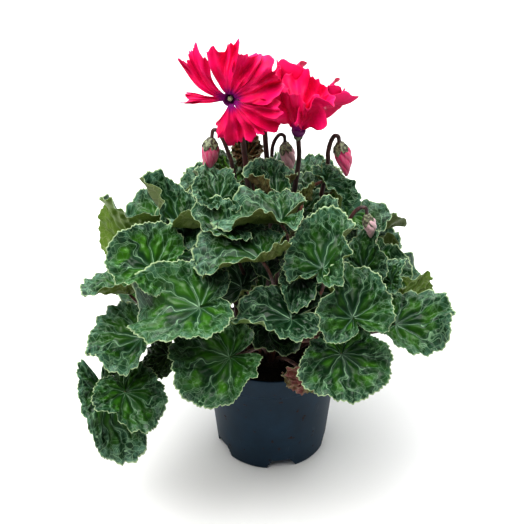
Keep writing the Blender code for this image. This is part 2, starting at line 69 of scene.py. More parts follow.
# leaf: x, y, z of the stalk's joint, heading, pitch, roll, length, width, cup of the rim, curl
# of the tip, then the finish: silver bloom, fresh green (partly a painted highlight on the swells), brown
# blush, and grown size
LEAVES = {
    "crown_front": (3, -21, 277, 130, 0, 0, 36, 52, 40, 0, 0.8, 0.2, 0.5, 1.02),
    "upper_left": (-45, -36, 282, 112, 16, 0, 33, 42, 18, 0, 0.9, 0.1, 0.1, 1.06),
    "top_olive_left": (-34, 20, 275, 160, 28, 0, 24, 32, 14, 0, 0.0, 1.0, 0.6, 1.25),
    "top_young": (-22, 20, 296, 80, 68, 0, 20, 24, 8, 0, 0.1, 0.5, 1.0, 1.0),
    "top_dark": (38, 34, 248, 50, 12, 0, 30, 42, 14, 0, 0.2, 0.1, 0.5, 1.1),
    "top_right_fold": (24, -24, 275, 15, 25, -50, 18, 24, 14, 0, 0.5, 0.5, 0.3, 1.0),
    "right_shoulder": (45, -4, 283, -20, -45, 10, 32, 26, 12, 0, 0.8, 0.1, 0.1, 1.06),
    "right_hook": (64, -22, 259, 0, 0, 10, 28, 28, 14, -80, 0.6, 0.5, 0.3, 1.06),
    "upper_mid": (6, -64, 276, 176, -2, 2, 44, 58, 36, -60, 0.9, 0.2, 0.2, 1.05),
    "left_mid": (-38, -65, 266, 166, 6, 0, 44, 50, 24, -30, 0.7, 0.2, 0.1, 1.06),
    "centre": (-9, -92, 258, 178, -4, 4, 52, 54, 34, -50, 0.8, 0.3, 0.2, 1.05),
    "right_centre": (39, -95, 253, 68, 32, -12, 44, 60, 24, 0, 0.6, 0.3, 0.1, 1.04),
    "right_upper": (40, -62, 272, 62, 45, 0, 24, 24, 18, 0, 0.8, 0.2, 0.1, 1.06),
    "right_rear": (75, -62, 231, 62, 40, 0, 32, 36, 16, 0, 0.6, 0.3, 0.2, 1.08),
    "right_mid": (62, -115, 220, 116, 36, -4, 42, 66, 18, 0, 0.5, 0.5, 0.1, 1.03),
    "right_small": (98, -66, 221, 40, 45, 0, 20, 22, 16, 0, 0.9, 0.3, 0.0, 1.1),
    "right_pale": (114, -32, 181, 5, 5, -76, 32, 42, 8, 0, 0.6, 0.7, 0.0, 1.06),
    "right_low": (101, -88, 194, -4, -2, 22, 48, 54, 8, 0, 0.5, 0.5, 0.1, 1.03),
    "front_right": (54, -124, 191, -78, -46, 0, 38, 70, 8, 0, 0.3, 0.8, 0.1, 1.03),
    "front_left": (-35, -124, 188, -172, -18, -40, 50, 66, 8, 0, 0.3, 0.7, 0.2, 1.03),
    "front_mid": (14, -113, 217, 182, -6, -16, 44, 52, 12, 0, 0.5, 0.0, 0.0, 1.06),
    "left_big": (-58, -114, 229, -172, -8, -22, 52, 72, 18, -35, 0.5, 0.6, 0.1, 1.04),
    "left_front": (-96, -85, 247, 150, 20, -25, 36, 64, 16, 0, 0.3, 0.9, 0.1, 1.05),
    "left_edge": (-121, -58, 204, 184, 0, 5, 40, 50, 46, -60, 0.9, 0.5, 0.1, 1.03),
    "left_olive": (-125, 0, 223, -112, 74, 0, 44, 54, -8, 0, 0.2, 1.0, 0.0, 1.2),
    "left_upper": (-76, -42, 260, 150, 20, -8, 52, 50, 18, 30, 0.8, 0.2, 0.1, 1.04),
    "left_drop": (-110, -85, 178, -165, -24, -14, 44, 62, 14, 0, 0.8, 0.4, 0.1, 1.04),
    "left_low": (-123, -112, 142, -55, -42, 0, 36, 58, 10, 0, 0.5, 0.6, 0.2, 1.03),
    "left_tip": (-143, -100, 130, -50, -58, 0, 62, 50, -6, 0, 0.9, 0.3, 0.2, 1.0),
    "front_dark": (19, -84, 238, -84, -24, 0, 30, 32, 12, 0, 0.4, 0.0, 0.0, 1.1),
    "front_curl": (31, -112, 157, -176, 0, 85, 24, 32, -4, 0, 0.2, 0.2, 1.0, 1.0),
    "left_under": (-90, -74, 153, -150, -40, -10, 24, 32, 8, 0, 0.1, 0.2, 0.6, 1.06),
    "back_right": (74, 44, 184, 30, -6, 0, 48, 64, 18, 0, 0.6, 0.4, 0.1, 1.06),
    "back_right_low": (112, 14, 150, 8, -30, 0, 46, 62, 12, 0, 0.4, 0.6, 0.1, 1.03),
    "back_far_right": (58, 86, 172, 50, -20, 0, 50, 68, 14, 0, 0.5, 0.5, 0.1, 1.06),
    "back_centre": (-16, 104, 222, 98, -10, 0, 50, 68, 18, 0, 0.8, 0.3, 0.1, 1.04),
    "back_centre_high": (30, 74, 226, 64, 8, 0, 44, 60, 20, 0, 0.7, 0.3, 0.1, 1.06),
    "back_far_left": (-56, 88, 168, 128, -20, 0, 52, 70, 14, 0, 0.4, 0.6, 0.1, 1.06),
    "back_left_high": (-48, 52, 230, 132, 8, 0, 44, 60, 20, 0, 0.8, 0.2, 0.1, 1.06),
    "back_left": (-98, 58, 206, 150, -18, 0, 48, 66, 16, 0, 0.6, 0.4, 0.1, 1.04),
    "back_low": (2, 96, 160, 88, -8, 0, 50, 76, 10, 0, 0.4, 0.6, 0.1, 1.04),
    # the inner leaves from here to inner_back_right carry low silver and fresh values: their deep green is
    # painted shade of the mound's dim interior
    "inner_left": (-26, -62, 214, 178, -20, -20, 42, 58, 20, 0, 0.2, 0.1, 0.2, 1.0),
    "inner_right": (30, -62, 208, -30, -28, 10, 42, 58, 20, 0, 0.2, 0.1, 0.2, 1.0),
    "inner_front": (2, -54, 182, -90, -38, 0, 40, 60, 16, 0, 0.1, 0.0, 0.3, 1.0),
    "inner_low_left": (-50, -48, 186, -140, -30, 0, 42, 60, 16, 0, 0.2, 0.1, 0.2, 1.0),
    "inner_low_right": (56, -46, 180, -40, -30, 0, 42, 60, 16, 0, 0.2, 0.1, 0.2, 1.0),
    "inner_crown": (-4, -34, 240, -90, -24, 0, 38, 58, 24, 0, 0.2, 0.0, 0.3, 1.0),
    "inner_crown_left": (-42, 6, 246, 176, -10, 0, 38, 54, 20, 0, 0.3, 0.1, 0.3, 1.0),
    "inner_crown_right": (36, -10, 238, 0, -14, 0, 38, 54, 20, 0, 0.3, 0.1, 0.3, 1.0),
    "inner_back": (0, 44, 212, 90, -16, 0, 42, 60, 18, 0, 0.3, 0.2, 0.2, 1.0),
    "inner_back_left": (-52, 34, 186, 150, -24, 0, 42, 60, 18, 0, 0.3, 0.2, 0.2, 1.0),
    "inner_back_right": (52, 26, 186, 30, -24, 0, 42, 60, 18, 0, 0.3, 0.2, 0.2, 1.0),
    "inner_middle": (-8, -10, 168, 90, 36, 0, 40, 54, 12, 0, 0.4, 0.4, 0.1, 1.0),
    "inner_right_low": (66, -52, 126, 84, 34, 0, 36, 48, 12, 0, 0.3, 0.5, 0.1, 1.0),
    "inner_left_gap": (-78, -16, 193, 96, 36, 0, 36, 48, 12, 0, 0.5, 0.3, 0.1, 1.0),
    "inner_crown_gap": (25, 6, 244, 84, 34, 0, 28, 38, 12, 0, 0.5, 0.3, 0.1, 1.0),
}

# tiers of plain leaves that close the mound at its back and sides: radius, height, first and last
# azimuth, count, pitch, length and width
FILL_TIERS = [
    (50, 236, 25, 165, 5, 4, 40, 54),
    (84, 206, -20, 200, 8, -12, 44, 60),
    (96, 172, -12, 192, 8, -30, 46, 64),
    (62, 150, 5, 175, 5, -34, 44, 60),
]


def fill_rows():
    """Rows for the tiers: evenly spaced azimuths, each leaf shifted a little by a sine wave."""
    rows = {}
    for radius, height, first, last, count, pitch, length, width in FILL_TIERS:
        for k in range(count):
            azimuth = first + (last - first) * (k + 0.5) / count
            wave = math.sin(2.3 * k + height)
            rows[f"inner_{height}_{k + 1}"] = (
                radius * math.cos(math.radians(azimuth)), radius * math.sin(math.radians(azimuth)),
                height + 7 * wave, azimuth + 16 * wave, pitch, 8 * math.cos(4.1 * k),
                length + 4 * wave, width + 5 * wave, 18, 0,
                0.5 + 0.35 * wave, 0.45 - 0.35 * wave, 0.1, 1.0)
    return rows


LEAVES.update(fill_rows())

# stem: radius, then the foot's x and y and the points that it passes through
STEMS = {
    "stem_left_flower": (2.2, [(-8, 2), (-20, -5, 262), (-25, 0, 318), (-27, 7, 345), (-29, 9, 360),
                               (-31, 6, 366), (-33, 1, 364)]),
    "stem_right_flower": (2.2, [(2, 6), (9, 14, 190), (18, 11, 260), (22, 6, 298), (21, 1, 319.5)]),
    "stem_rear_flower": (2.4, [(2, 15), (-2, 31, 245), (-6, 30, 300), (-7, 33, 317)]),
    "stem_left_bud": (1.7, [(-11, -4), (-31, -6, 276), (-38, -3, 311), (-45, -3, 328),
                            (-49.5, -3, 330), (-51, -3, 323)]),
    "stem_mid_bud": (1.6, [(-1, 2), (-2, 16, 240), (-1, 20, 286), (0, 22, 304), (5, 22, 314),
                           (9.5, 22, 313.5), (10.5, 22, 307.5)]),
    "stem_right_bud": (1.9, [(12, 4), (44, 12, 270), (47, 11, 304), (50.5, 10, 317.5), (54.5, 9, 319),
                             (56, 9, 313.5)]),
    "stem_small_bud": (1.6, [(15, -5), (52, -40, 240), (64, -45, 272), (70, -47, 281), (75, -48, 281.5),
                             (76.3, -48, 276)]),
}

# bud: the stem that carries it, length, radius, and how pale its furled petals are
BUDS = {
    "bud_left": ("stem_left_bud", 24, 8.0, 0.22),
    "bud_mid": ("stem_mid_bud", 23, 7.0, 0.9),
    "bud_right": ("stem_right_bud", 24, 8.0, 0.1),
    "bud_small": ("stem_small_bud", 14, 6.0, 1.0),
}
CALYX_LENGTH = 9.0

# flower: mouth, axis, and for every petal its turn about the axis, length, half-width of the fan
# in degrees, slope at the mouth and at the tip, depth of the ruffles, their number, and how far
# the petal sweeps sideways by its tip
FLOWERS = {
    "petals_left": ((-35, -14, 362), (-0.15, -1.0, 0.1), [
        (280, 32, 50, 66, 96, 6.0, 2.5, 0), (334, 38, 36, 56, 92, 8.0, 3.0, 8),
        (36, 43, 48, 46, 112, 10.0, 2.8, 6), (86, 43, 42, 40, 100, 10.0, 3.2, -4),
        (150, 49, 16, 46, 92, 6.0, 1.8, -26), (176, 33, 9, 56, 90, 3.5, 1.2, 4)]),
    "petals_right": ((21, 0, 329), (0.12, 0.1, 1.0), [
        (250, 42, 60, 20, 32, 6.0, 3.0, 0), (322, 45, 60, 22, 36, 7.0, 3.0, 0),
        (16, 48, 42, 24, 42, 7.0, 3.0, 6), (95, 46, 60, 16, 30, 7.0, 3.0, 0),
        (172, 43, 60, 22, 42, 6.0, 3.0, 0)]),
    "petals_rear": ((-7, 35, 328), (0.1, 0.35, 1.0), [
        (250, 42, 50, 14, 28, 6.0, 2.5, 0), (322, 46, 50, 16, 32, 7.0, 3.0, 0),
        (30, 52, 46, 18, 38, 7.0, 3.0, 10), (100, 46, 50, 18, 42, 6.0, 3.0, 0),
        (175, 42, 50, 16, 34, 6.0, 3.0, 0)]),
}

# pot, from the frame where it can be read
POT_LOW, POT_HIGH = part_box("pot")
POT_HEIGHT = (POT_HIGH[2] - POT_LOW[2]) / MM
POT_RIM_R = (POT_HIGH[0] - POT_LOW[0]) / 2 / MM
POT_BASE_R = 53.0
COLLAR_HEIGHT = 22.0
COLLAR_STEP = 1.0
POT_WALL = 1.6
NOTCH_COUNT = 5
NOTCH_FIRST = -80.0
NOTCH_HALF_BOTTOM = 14.0
NOTCH_HALF_TOP = 8.4
NOTCH_HEIGHT = 10.0
NOTCH_START = 38.0
CORM_R = 27.0
CORM_MIDDLE = 98.0
CORM_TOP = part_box("corm")[1][2] / MM
SOIL_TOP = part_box("soil")[1][2] / MM
ROOT_SPREAD = 23.0
RIM_WAVE = 20.0
LEAF_GRID = (252, 24)
FILL_GRID = (144, 14)
PETAL_GRID = (73, 34)
POT_SIDES = 720
SOIL_DEPTH = 7.5
FOOT_GAP = 5.2
SIDE_HINT = np.array([1.0, 0.3, 0.0])
FLOOR_HALF = 1.6
VEIN_SPACING = math.radians(40.0)


# ---------------------------------------------------------------- settings

class LeafSettings(bpy.types.PropertyGroup):
    """Sizes and colours of the leaves."""

    thickness: bpy.props.FloatProperty(
        name="Thickness", description="Thickness of a blade", default=0.0006, unit='LENGTH')
    ruffle: bpy.props.FloatProperty(
        name="Ruffle", description="Height of the broad waves of the rim", default=0.0062, unit='LENGTH')
    lip: bpy.props.FloatProperty(
        name="Lip", description="How far the rim turns up", default=0.0120, unit='LENGTH')
    fold: bpy.props.FloatProperty(
        name="Fold", description="How far the two halves rise from the midrib at the rim",
        default=0.0075, unit='LENGTH')
    tooth: bpy.props.FloatProperty(
        name="Tooth", description="Depth of the teeth along the rim", default=0.0016, unit='LENGTH')
    pucker: bpy.props.FloatProperty(
        name="Pucker", description="Swell of the blade between its veins", default=0.0030, unit='LENGTH')
    deep: bpy.props.FloatVectorProperty(
        name="Deep green", description="Colour of the blade's middle", subtype='COLOR',
        default=(0.0022, 0.017, 0.0050))
    # the fresh green of the swells is partly the leaf's own tone and partly a painted highlight on the
    # bulges
    fresh: bpy.props.FloatVectorProperty(
        name="Fresh green", description="Colour of the swells between the veins", subtype='COLOR',
        default=(0.062, 0.205, 0.012))
    silver: bpy.props.FloatVectorProperty(
        name="Silver", description="Colour of the bloom near the rim", subtype='COLOR',
        default=(0.095, 0.210, 0.140))
    vein: bpy.props.FloatVectorProperty(
        name="Vein", description="Colour of the veins", subtype='COLOR', default=(0.280, 0.470, 0.270))


class FlowerSettings(bpy.types.PropertyGroup):
    """Colours and fringe of the flowers."""

    fringe: bpy.props.FloatProperty(
        name="Fringe", description="Depth of the fringed edge of a petal", default=0.0012, unit='LENGTH')
    petal: bpy.props.FloatVectorProperty(
        name="Petal", description="Colour of the petals", subtype='COLOR', default=(0.80, 0.002, 0.140))
    throat: bpy.props.FloatVectorProperty(
        name="Throat", description="Colour round the mouth", subtype='COLOR', default=(0.22, 0.0, 0.16))


class PotSettings(bpy.types.PropertyGroup):
    """Colour of the pot."""

    plastic: bpy.props.FloatVectorProperty(
        name="Plastic", description="Colour of the pot", subtype='COLOR', default=(0.0028, 0.018, 0.036))


class StageSettings(bpy.types.PropertyGroup):
    """Camera and light."""

    lens: bpy.props.FloatProperty(
        name="Lens", description="Focal length in millimetres", default=69.0)
    camera: bpy.props.FloatVectorProperty(
        name="Camera", description="Place of the camera", subtype='XYZ', unit='LENGTH',
        default=(-0.0093, -0.763, 0.677))
    target: bpy.props.FloatVectorProperty(
        name="Target", description="Point that the camera looks at", subtype='XYZ', unit='LENGTH',
        default=(-0.0093, 0.0, 0.2))


# ---------------------------------------------------------------- curves and grids

def unit(v):
    """Vectors at length one, along the last axis."""
    return v / np.linalg.norm(v, axis=-1, keepdims=True)


def ease(low, high, value):
    """A smooth step from 0 at low to 1 at high."""
    t = np.clip((value - low) / (high - low), 0.0, 1.0)
    return t * t * (3 - 2 * t)


def bezier(p0, p1, p2, p3, count):
    """Points of a cubic curve from p0 to p3."""
    t = np.linspace(0.0, 1.0, count)[:, None]
    return (1 - t) ** 3 * p0 + 3 * (1 - t) ** 2 * t * p1 + 3 * (1 - t) * t * t * p2 + t ** 3 * p3


def smooth_path(points, per_span):
    """A smooth curve through the points: one cubic blend of four neighbours for each span."""
    p = np.array(points, float)
    p = np.vstack([2 * p[0] - p[1], p, 2 * p[-1] - p[-2]])
    t = (np.arange(per_span) / per_span)[None, :, None]
    a, b, c, d = (p[k:len(p) - 3 + k, None, :] for k in range(4))
    spans = 0.5 * (2 * b + (c - a) * t + (2 * a - 5 * b + 4 * c - d) * t * t
                   + (3 * b - a - 3 * c + d) * t ** 3)
    return np.vstack([spans.reshape(-1, 3), p[-2]])


def frames_along(path, first):
    """Two unit vectors across the path at each point, carried along it with as little turn as can be."""
    tangent = unit(np.gradient(path, axis=0))
    u = first
    across = []
    for along in tangent:
        u = unit(u - along * (u @ along))
        across.append(u)
    across = np.array(across)
    return across, np.cross(tangent, across)


def tube(path, radii, sides, first):
    """Rings round a path: centre plus radius times cosine and sine of the turn."""
    u, v = frames_along(path, first)
    turn = full_turn(sides)
    r = radii[:, None]
    return path[:, None, :] + r[..., None] * circle(turn[None, :], u[:, None, :], v[:, None, :])


def circle(turn, u, v):
    """Unit vectors round a circle: cosine of the turn along u plus its sine along v."""
    return np.cos(turn)[..., None] * u + np.sin(turn)[..., None] * v


def lathe(r, turn, z):
    """Points turned about Z: radius times cosine and sine of the turn, and the height."""
    return np.stack(np.broadcast_arrays(r * np.cos(turn), r * np.sin(turn), z), axis=-1)


def full_turn(sides):
    """The angles of evenly spaced sides."""
    return np.arange(sides) * 2 * math.pi / sides


class Skin:
    """Collects closed grids of points into one mesh with its UV maps and material slots."""

    def __init__(self):
        self.points = []
        self.loops = []
        self.sizes = []
        self.slots = []
        self.maps = {"sheet": [], "blade": []}
        self.total = 0

    def add(self, points, corners, sizes, slots, sheet, blade):
        """Append faces given as a flat list of corners, with one map row per corner."""
        self.points.append(points.reshape(-1, 3))
        self.loops.append(corners + self.total)
        self.sizes.append(sizes)
        self.slots.append(slots)
        self.maps["sheet"].append(sheet)
        self.maps["blade"].append(blade)
        self.total += points.size // 3

    def rings(self, rings, slots, sheet=None, blade=None):
        """Join rings of points, closed round and capped at both ends with a point.

        Ring k and k + 1 are joined by quads whose slot is slots[k]; the caps take the
        slots of their ends. The maps have one more column than the rings, for the seam.
        """
        count, sides = rings.shape[:2]
        slots = np.broadcast_to(np.asarray(slots), (count - 1,))
        if sheet is None:
            around = np.linspace(0.0, 1.0, sides + 1)
            along = np.linspace(0.0, 1.0, count)
            sheet = np.stack(np.meshgrid(along, around, indexing="ij"), axis=-1)
        blade = sheet if blade is None else blade
        k, j = np.meshgrid(np.arange(count - 1), np.arange(sides), indexing="ij")
        after = (j + 1) % sides
        quads = np.stack([k * sides + j, (k + 1) * sides + j, (k + 1) * sides + after,
                          k * sides + after], axis=-1)
        seams = np.stack([k * (sides + 1) + j, (k + 1) * (sides + 1) + j,
                          (k + 1) * (sides + 1) + j + 1, k * (sides + 1) + j + 1], axis=-1)
        flat_sheet = sheet.reshape(-1, 2)
        flat_blade = blade.reshape(-1, 2)
        side = np.arange(sides)
        low, high = count * sides, count * sides + 1
        first = np.stack([np.full(sides, low), side, (side + 1) % sides], axis=-1)
        last = (count - 1) * sides
        final = np.stack([last + side, np.full(sides, high), last + (side + 1) % sides], axis=-1)
        first_map = np.stack([side, side, side + 1], axis=-1)
        end = (count - 1) * (sides + 1)
        final_map = end + np.stack([side, side, side + 1], axis=-1)
        points = np.vstack([rings.reshape(-1, 3), rings[0].mean(axis=0), rings[-1].mean(axis=0)])
        corners = np.concatenate([quads.ravel(), first.ravel(), final.ravel()])
        where = np.concatenate([seams.ravel(), first_map.ravel(), final_map.ravel()])
        sizes = np.concatenate([np.full(quads.size // 4, 4), np.full(2 * sides, 3)])
        kinds = np.concatenate([np.repeat(slots, sides), np.full(sides, slots[0]),
                                np.full(sides, slots[-1])])
        self.add(points, corners, sizes, kinds, flat_sheet[where], flat_blade[where])

    def plate(self, top, under, slots, sheet, blade):
        """Close a thin sheet: a grid for each face of it and a strip of quads round its rim."""
        rows, cols = top.shape[:2]
        k, j = np.meshgrid(np.arange(rows - 1), np.arange(cols - 1), indexing="ij")
        upper = np.stack([k * cols + j, (k + 1) * cols + j, (k + 1) * cols + j + 1,
                          k * cols + j + 1], axis=-1).reshape(-1, 4)
        lower = upper[:, ::-1] + rows * cols
        rim = np.concatenate([np.arange(cols), cols * np.arange(1, rows) + cols - 1,
                              (rows - 1) * cols + np.arange(cols - 2, -1, -1),
                              cols * np.arange(rows - 2, 0, -1)])
        nxt = np.roll(rim, -1)
        edge = np.stack([rim, nxt, nxt + rows * cols, rim + rows * cols], axis=-1)
        faces = np.concatenate([upper, lower, edge])
        kinds = np.concatenate([np.full(len(upper), slots[0]), np.full(len(lower), slots[1]),
                                np.full(len(edge), slots[0])])
        where = faces.ravel() % (rows * cols)
        self.add(np.concatenate([top.reshape(-1, 3), under.reshape(-1, 3)]), faces.ravel(),
                 np.full(len(faces), 4), kinds, sheet.reshape(-1, 2)[where], blade.reshape(-1, 2)[where])

    def build(self, name, materials, nodes, traits=(0.0, 0.0, 0.0)):
        """Make the object, parent it to the body, and hide the frame's parts that it stands for."""
        points = np.concatenate(self.points) * MM
        loops = np.concatenate(self.loops).astype(np.int32)
        sizes = np.concatenate(self.sizes)
        mesh = bpy.data.meshes.new(name)
        mesh.vertices.add(len(points))
        mesh.vertices.foreach_set("co", points.ravel())
        mesh.loops.add(len(loops))
        mesh.loops.foreach_set("vertex_index", loops)
        mesh.polygons.add(len(sizes))
        mesh.polygons.foreach_set("loop_start", np.concatenate([[0], np.cumsum(sizes)[:-1]]))
        mesh.polygons.foreach_set("material_index", np.concatenate(self.slots).astype(np.int32))
        mesh.polygons.foreach_set("use_smooth", np.ones(len(sizes), bool))
        for label, rows in self.maps.items():
            layer = mesh.uv_layers.new(name=label)
            layer.data.foreach_set("uv", np.concatenate(rows).ravel())
        layer = mesh.attributes.new("traits", 'FLOAT_VECTOR', 'POINT')
        layer.data.foreach_set("vector", np.tile(np.array(traits, float), len(points)))
        mesh.update(calc_edges=True)
        if mesh.validate():
            raise RuntimeError(f"{name} had faces that are not valid")
        for material in materials:
            mesh.materials.append(material)
        obj = bpy.data.objects.new(name, mesh)
        bpy.context.scene.collection.objects.link(obj)
        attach(obj, BODY)
        if nodes:
            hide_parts(*nodes)


# ---------------------------------------------------------------- leaves

def leaf_frame(heading, pitch, roll):
    """The tip direction, the left-hand side and the upper normal of a blade, as rows."""
    h, p, r = (math.radians(a) for a in (heading, pitch, roll))
    tip = np.array([math.cos(h) * math.cos(p), math.sin(h) * math.cos(p), math.sin(p)])
    side = np.array([-math.sin(h), math.cos(h), 0.0])
    side = side * math.cos(r) + np.cross(tip, side) * math.sin(r)
    return np.array([tip, side, np.cross(tip, side)])


def leaf_outline(turn, length, width):
    """Radius and true angle of the heart-shaped rim.

    The radius is 0.80 plus 0.20 cosine of the turn, drawn in to nothing near the sinus at half
    a turn; the sideways part is then stretched to the leaf's width.
    """
    away = np.abs(turn)
    r = (0.80 + 0.20 * np.cos(away)) * (1 - np.exp(-((math.pi - away) / 0.26) ** 1.4))
    x = r * np.cos(away)
    y = r * np.sin(away) * width / (1.60 * length)
    return length * np.maximum(np.hypot(x, y), 0.06), np.arctan2(y, x) * np.sign(turn)


def rim_teeth(turn, reach, tooth, seed):
    """How far the rim stands out: round lobes about 9 mm wide, each with three small teeth."""
    lobes = max(8, round(2 * math.pi * reach.mean() / 9.0))
    round_lobe = np.abs(np.sin(lobes * turn / 2 + seed)) ** 0.7 - 0.6
    small = 1 - np.abs(((lobes * 3 * turn / (2 * math.pi) + seed) % 1.0) * 2 - 1)
    return tooth * (1.25 * round_lobe + 0.9 * small) * ease(0.15, 0.6, reach / reach.max())


def blade_relief(turn, rho, reach, settings, seed):
    """Height of the blade off its smooth form.

    Broad waves grow with the 2.4th power of the way out to the rim and short ones with its
    sixth; the rim turns up in places; the halves rise from the midrib as the sine of the turn;
    the blade swells between the veins, whose spacing halves beyond each fork.
    """
    grown = reach[None, :] / 45.0
    ruffle = settings.ruffle / MM
    waves = np.sin((5 + round(2 * math.sin(seed))) * turn + seed + 1.1 * np.sin(2 * turn + 2 * seed))
    short = np.sin(18 * turn + 3 * seed + 0.8 * np.sin(5 * turn))
    rise = ruffle * grown * (waves[None, :] * rho ** 2.4 + 0.42 * short[None, :] * rho ** 6)
    turned = 0.55 + 0.45 * np.sin(2 * turn + 1.7 * seed)
    rise += settings.lip / MM * grown * ease(0.42, 1.15, rho) * turned[None, :]
    rise += settings.fold / MM * grown * rho * (np.sqrt(np.sin(turn) ** 2 + 0.03) - 0.17)
    sector = turn / VEIN_SPACING
    between = np.sin(math.pi * sector) ** 2
    forked = np.sin(2 * math.pi * sector) ** 2
    cells = np.sin(4 * math.pi * sector + seed) * np.sin(rho * 24 + seed)
    pucker = settings.pucker / MM
    rise += pucker * (between[None, :] * ease(0.06, 0.35, rho) * (1 - ease(0.4, 0.75, rho))
                      + 0.8 * forked[None, :] * ease(0.4, 0.65, rho) * (1 - ease(0.8, 1.0, rho))
                      + 0.35 * cells * ease(0.3, 0.6, rho) * (1 - ease(0.85, 1.0, rho)))
    return rise


def build_leaf(name, row, foot, order, materials, settings):
    """One leaf: a cupped, ruffled blade of even thickness and the stalk that carries it.

    The blade's slope changes evenly from the joint to the rim along every ray, so each ray is
    an arc; relief is then added along the blade's normal.
    """
    x, y, z, heading, pitch, roll, length, width, cup, curl = row[:10]
    silver, fresh, blush, grown = row[10:]
    columns, rows = FILL_GRID if name.startswith("inner") else LEAF_GRID
    seed = 2.4 * order
    turn = -math.pi + (np.arange(columns) + 0.5) * 2 * math.pi / columns
    reach, angle = leaf_outline(turn, length, width)
    rho = ((np.arange(rows) + 1) / rows)[:, None] ** 0.85
    rim = np.radians(cup + curl * ((1 + np.cos(turn)) / 2) ** 2 + RIM_WAVE * np.sin(3 * turn + cup))
    start = math.radians(0.6 * cup)
    bend = (rim - start) / reach
    bend = np.where(np.abs(bend) < 1e-6, 1e-6, bend)
    s = rho * reach * grown + rho ** 8 * rim_teeth(turn, reach, settings.tooth / MM, seed)
    slope = start + bend * s
    out = (np.sin(slope) - math.sin(start)) / bend
    up = (math.cos(start) - np.cos(slope)) / bend
    rise = blade_relief(turn, rho, reach, settings, seed)
    axes = leaf_frame(heading, pitch, roll)
    joint = np.array([x, y, z], float)

    def sheet_at(height):
        """The blade's points at a height off its smooth form."""
        r = out - height * np.sin(slope)
        local = np.stack([r * np.cos(angle), r * np.sin(angle), up + height * np.cos(slope)], axis=-1)
        return local @ axes + joint

    thick = settings.thickness / MM * (1 - 0.5 * rho ** 6)
    top = sheet_at(rise)
    under = sheet_at(rise - thick)
    rings = np.concatenate([top, under[::-1]])
    sector = np.linspace(-math.pi, math.pi, columns + 1) / VEIN_SPACING
    reach_seam = np.append(s, s[:, :1], axis=1)
    angle_seam = np.append(angle, angle[0])
    sheet = np.stack(np.broadcast_arrays(sector[None, :], rho), axis=-1)
    blade = np.stack([reach_seam * np.cos(angle_seam), reach_seam * np.sin(angle_seam)], axis=-1) / 10
    skin = Skin()
    skin.rings(rings, np.repeat([0, 1], [rows, rows - 1]), np.concatenate([sheet, sheet[::-1]]),
               np.concatenate([blade, blade[::-1]]))

    away = unit(-0.75 * axes[2] - 0.45 * axes[0])
    top_end = joint - 0.1 * axes[2]
    gap = np.linalg.norm(top_end - foot)
    lift = unit(np.array([foot[0] * 0.6, foot[1] * 0.6, 22.0]))
    path = bezier(top_end, top_end + away * gap * 0.22, foot + lift * gap * 0.36, foot, 40)
    along = np.linspace(0, 1, 40)
    radii = 1.35 + 0.75 * along + 0.08 * np.sin(along * 37 + seed)
    stalk = tube(path, radii, 10, axes[0])
    skin.rings(stalk[::-1], 2)
    skin.build("fine_leaf_" + name, materials,
               [] if name.startswith("inner") else ["leaf_" + name], (silver, fresh, blush))


def corm_height(r):
    """Height of the corm's top at a distance from the axis: an ellipse."""
    return CORM_MIDDLE + (CORM_TOP - CORM_MIDDLE) * math.sqrt(max(0.0, 1 - (r / CORM_R) ** 2))


def spread_feet():
    """The foot of every stem and stalk on the corm, pushed apart until all stand clear."""
    feet = [[float(points[0][0]), float(points[0][1])] for _, points in STEMS.values()]
    for name, row in LEAVES.items():
        if name.startswith("inner"):
            continue
        x, y, z = row[:3]
        flat = math.hypot(x, y)
        steep = math.atan2(z - CORM_TOP, flat) / (math.pi / 2)
        r = ROOT_SPREAD * (1 - steep) ** 0.7
        feet.append([r * x / flat, r * y / flat])
    feet = np.array(feet)
    for _ in range(400):
        gaps = feet[:, None, :] - feet[None, :, :]
        dist = np.hypot(gaps[..., 0], gaps[..., 1]) + np.eye(len(feet)) * 99
        push = np.clip(FOOT_GAP - dist, 0, None) / dist
        feet = feet + 0.25 * (gaps * push[..., None]).sum(axis=1)
        far = np.hypot(feet[:, 0], feet[:, 1])
        feet = feet * np.minimum(1.0, (ROOT_SPREAD + 0.5) / far)[:, None]
    extra = np.array([row[:2] for name, row in LEAVES.items() if name.startswith("inner")], float)
    feet = np.vstack([feet, unit(extra) * (CORM_R - 5.0)])
    return [np.array([x, y, corm_height(math.hypot(x, y)) + 0.1]) for x, y in feet]


# ---------------------------------------------------------------- stems, buds, flowers

def stem_path(name, feet):
    """The middle line of a stem, from its foot to its head."""
    points = STEMS[name][1]
    foot = feet[list(STEMS).index(name)]
    return smooth_path([foot] + [np.array(p, float) for p in points[1:]], 9)


def add_calyx(skin, head, down, width, slot):
    """Five pointed sepals as one flared cup: its length swells five times round the head."""
    sides = 60
    turn = full_turn(sides)
    point = np.abs(np.cos(2.5 * turn)) ** 0.8
    t = np.linspace(0, 1, 12)[:, None]
    length = CALYX_LENGTH * (0.55 + 0.65 * point)[None, :]
    radius = 1.6 + (width * 0.95 - 1.6) * np.sin(t * math.pi * 0.55) * (1 + 0.06 * np.cos(5 * turn))
    u, v = frames_along(np.array([head, head + down]), SIDE_HINT)
    ring = circle(turn, u[0], v[0])
    outer = head + (length * t)[..., None] * down + radius[..., None] * ring
    inner = head + (length * t * 0.98 + 0.4)[..., None] * down + (radius - 0.5)[..., None] * ring
    skin.rings(np.concatenate([outer, inner[::-1]])[::-1], slot)


def build_stem(name, feet, materials):
    """A round stem with its calyx, its radius slightly uneven along the way."""
    radius = STEMS[name][0]
    path = stem_path(name, feet)
    along = np.linspace(0, 1, len(path))
    radii = radius * (1.12 - 0.2 * along + 0.03 * np.sin(along * 60))
    skin = Skin()
    skin.rings(tube(path, radii, 14, SIDE_HINT), 0)
    width = 4.4
    for carrier, _, wide, _ in BUDS.values():
        if carrier == name:
            width = wide * 0.92
    add_calyx(skin, path[-1] - 0.5 * unit(path[-1] - path[-2]), unit(path[-1] - path[-2]), width, 1)
    skin.build("fine_" + name, materials, [name])


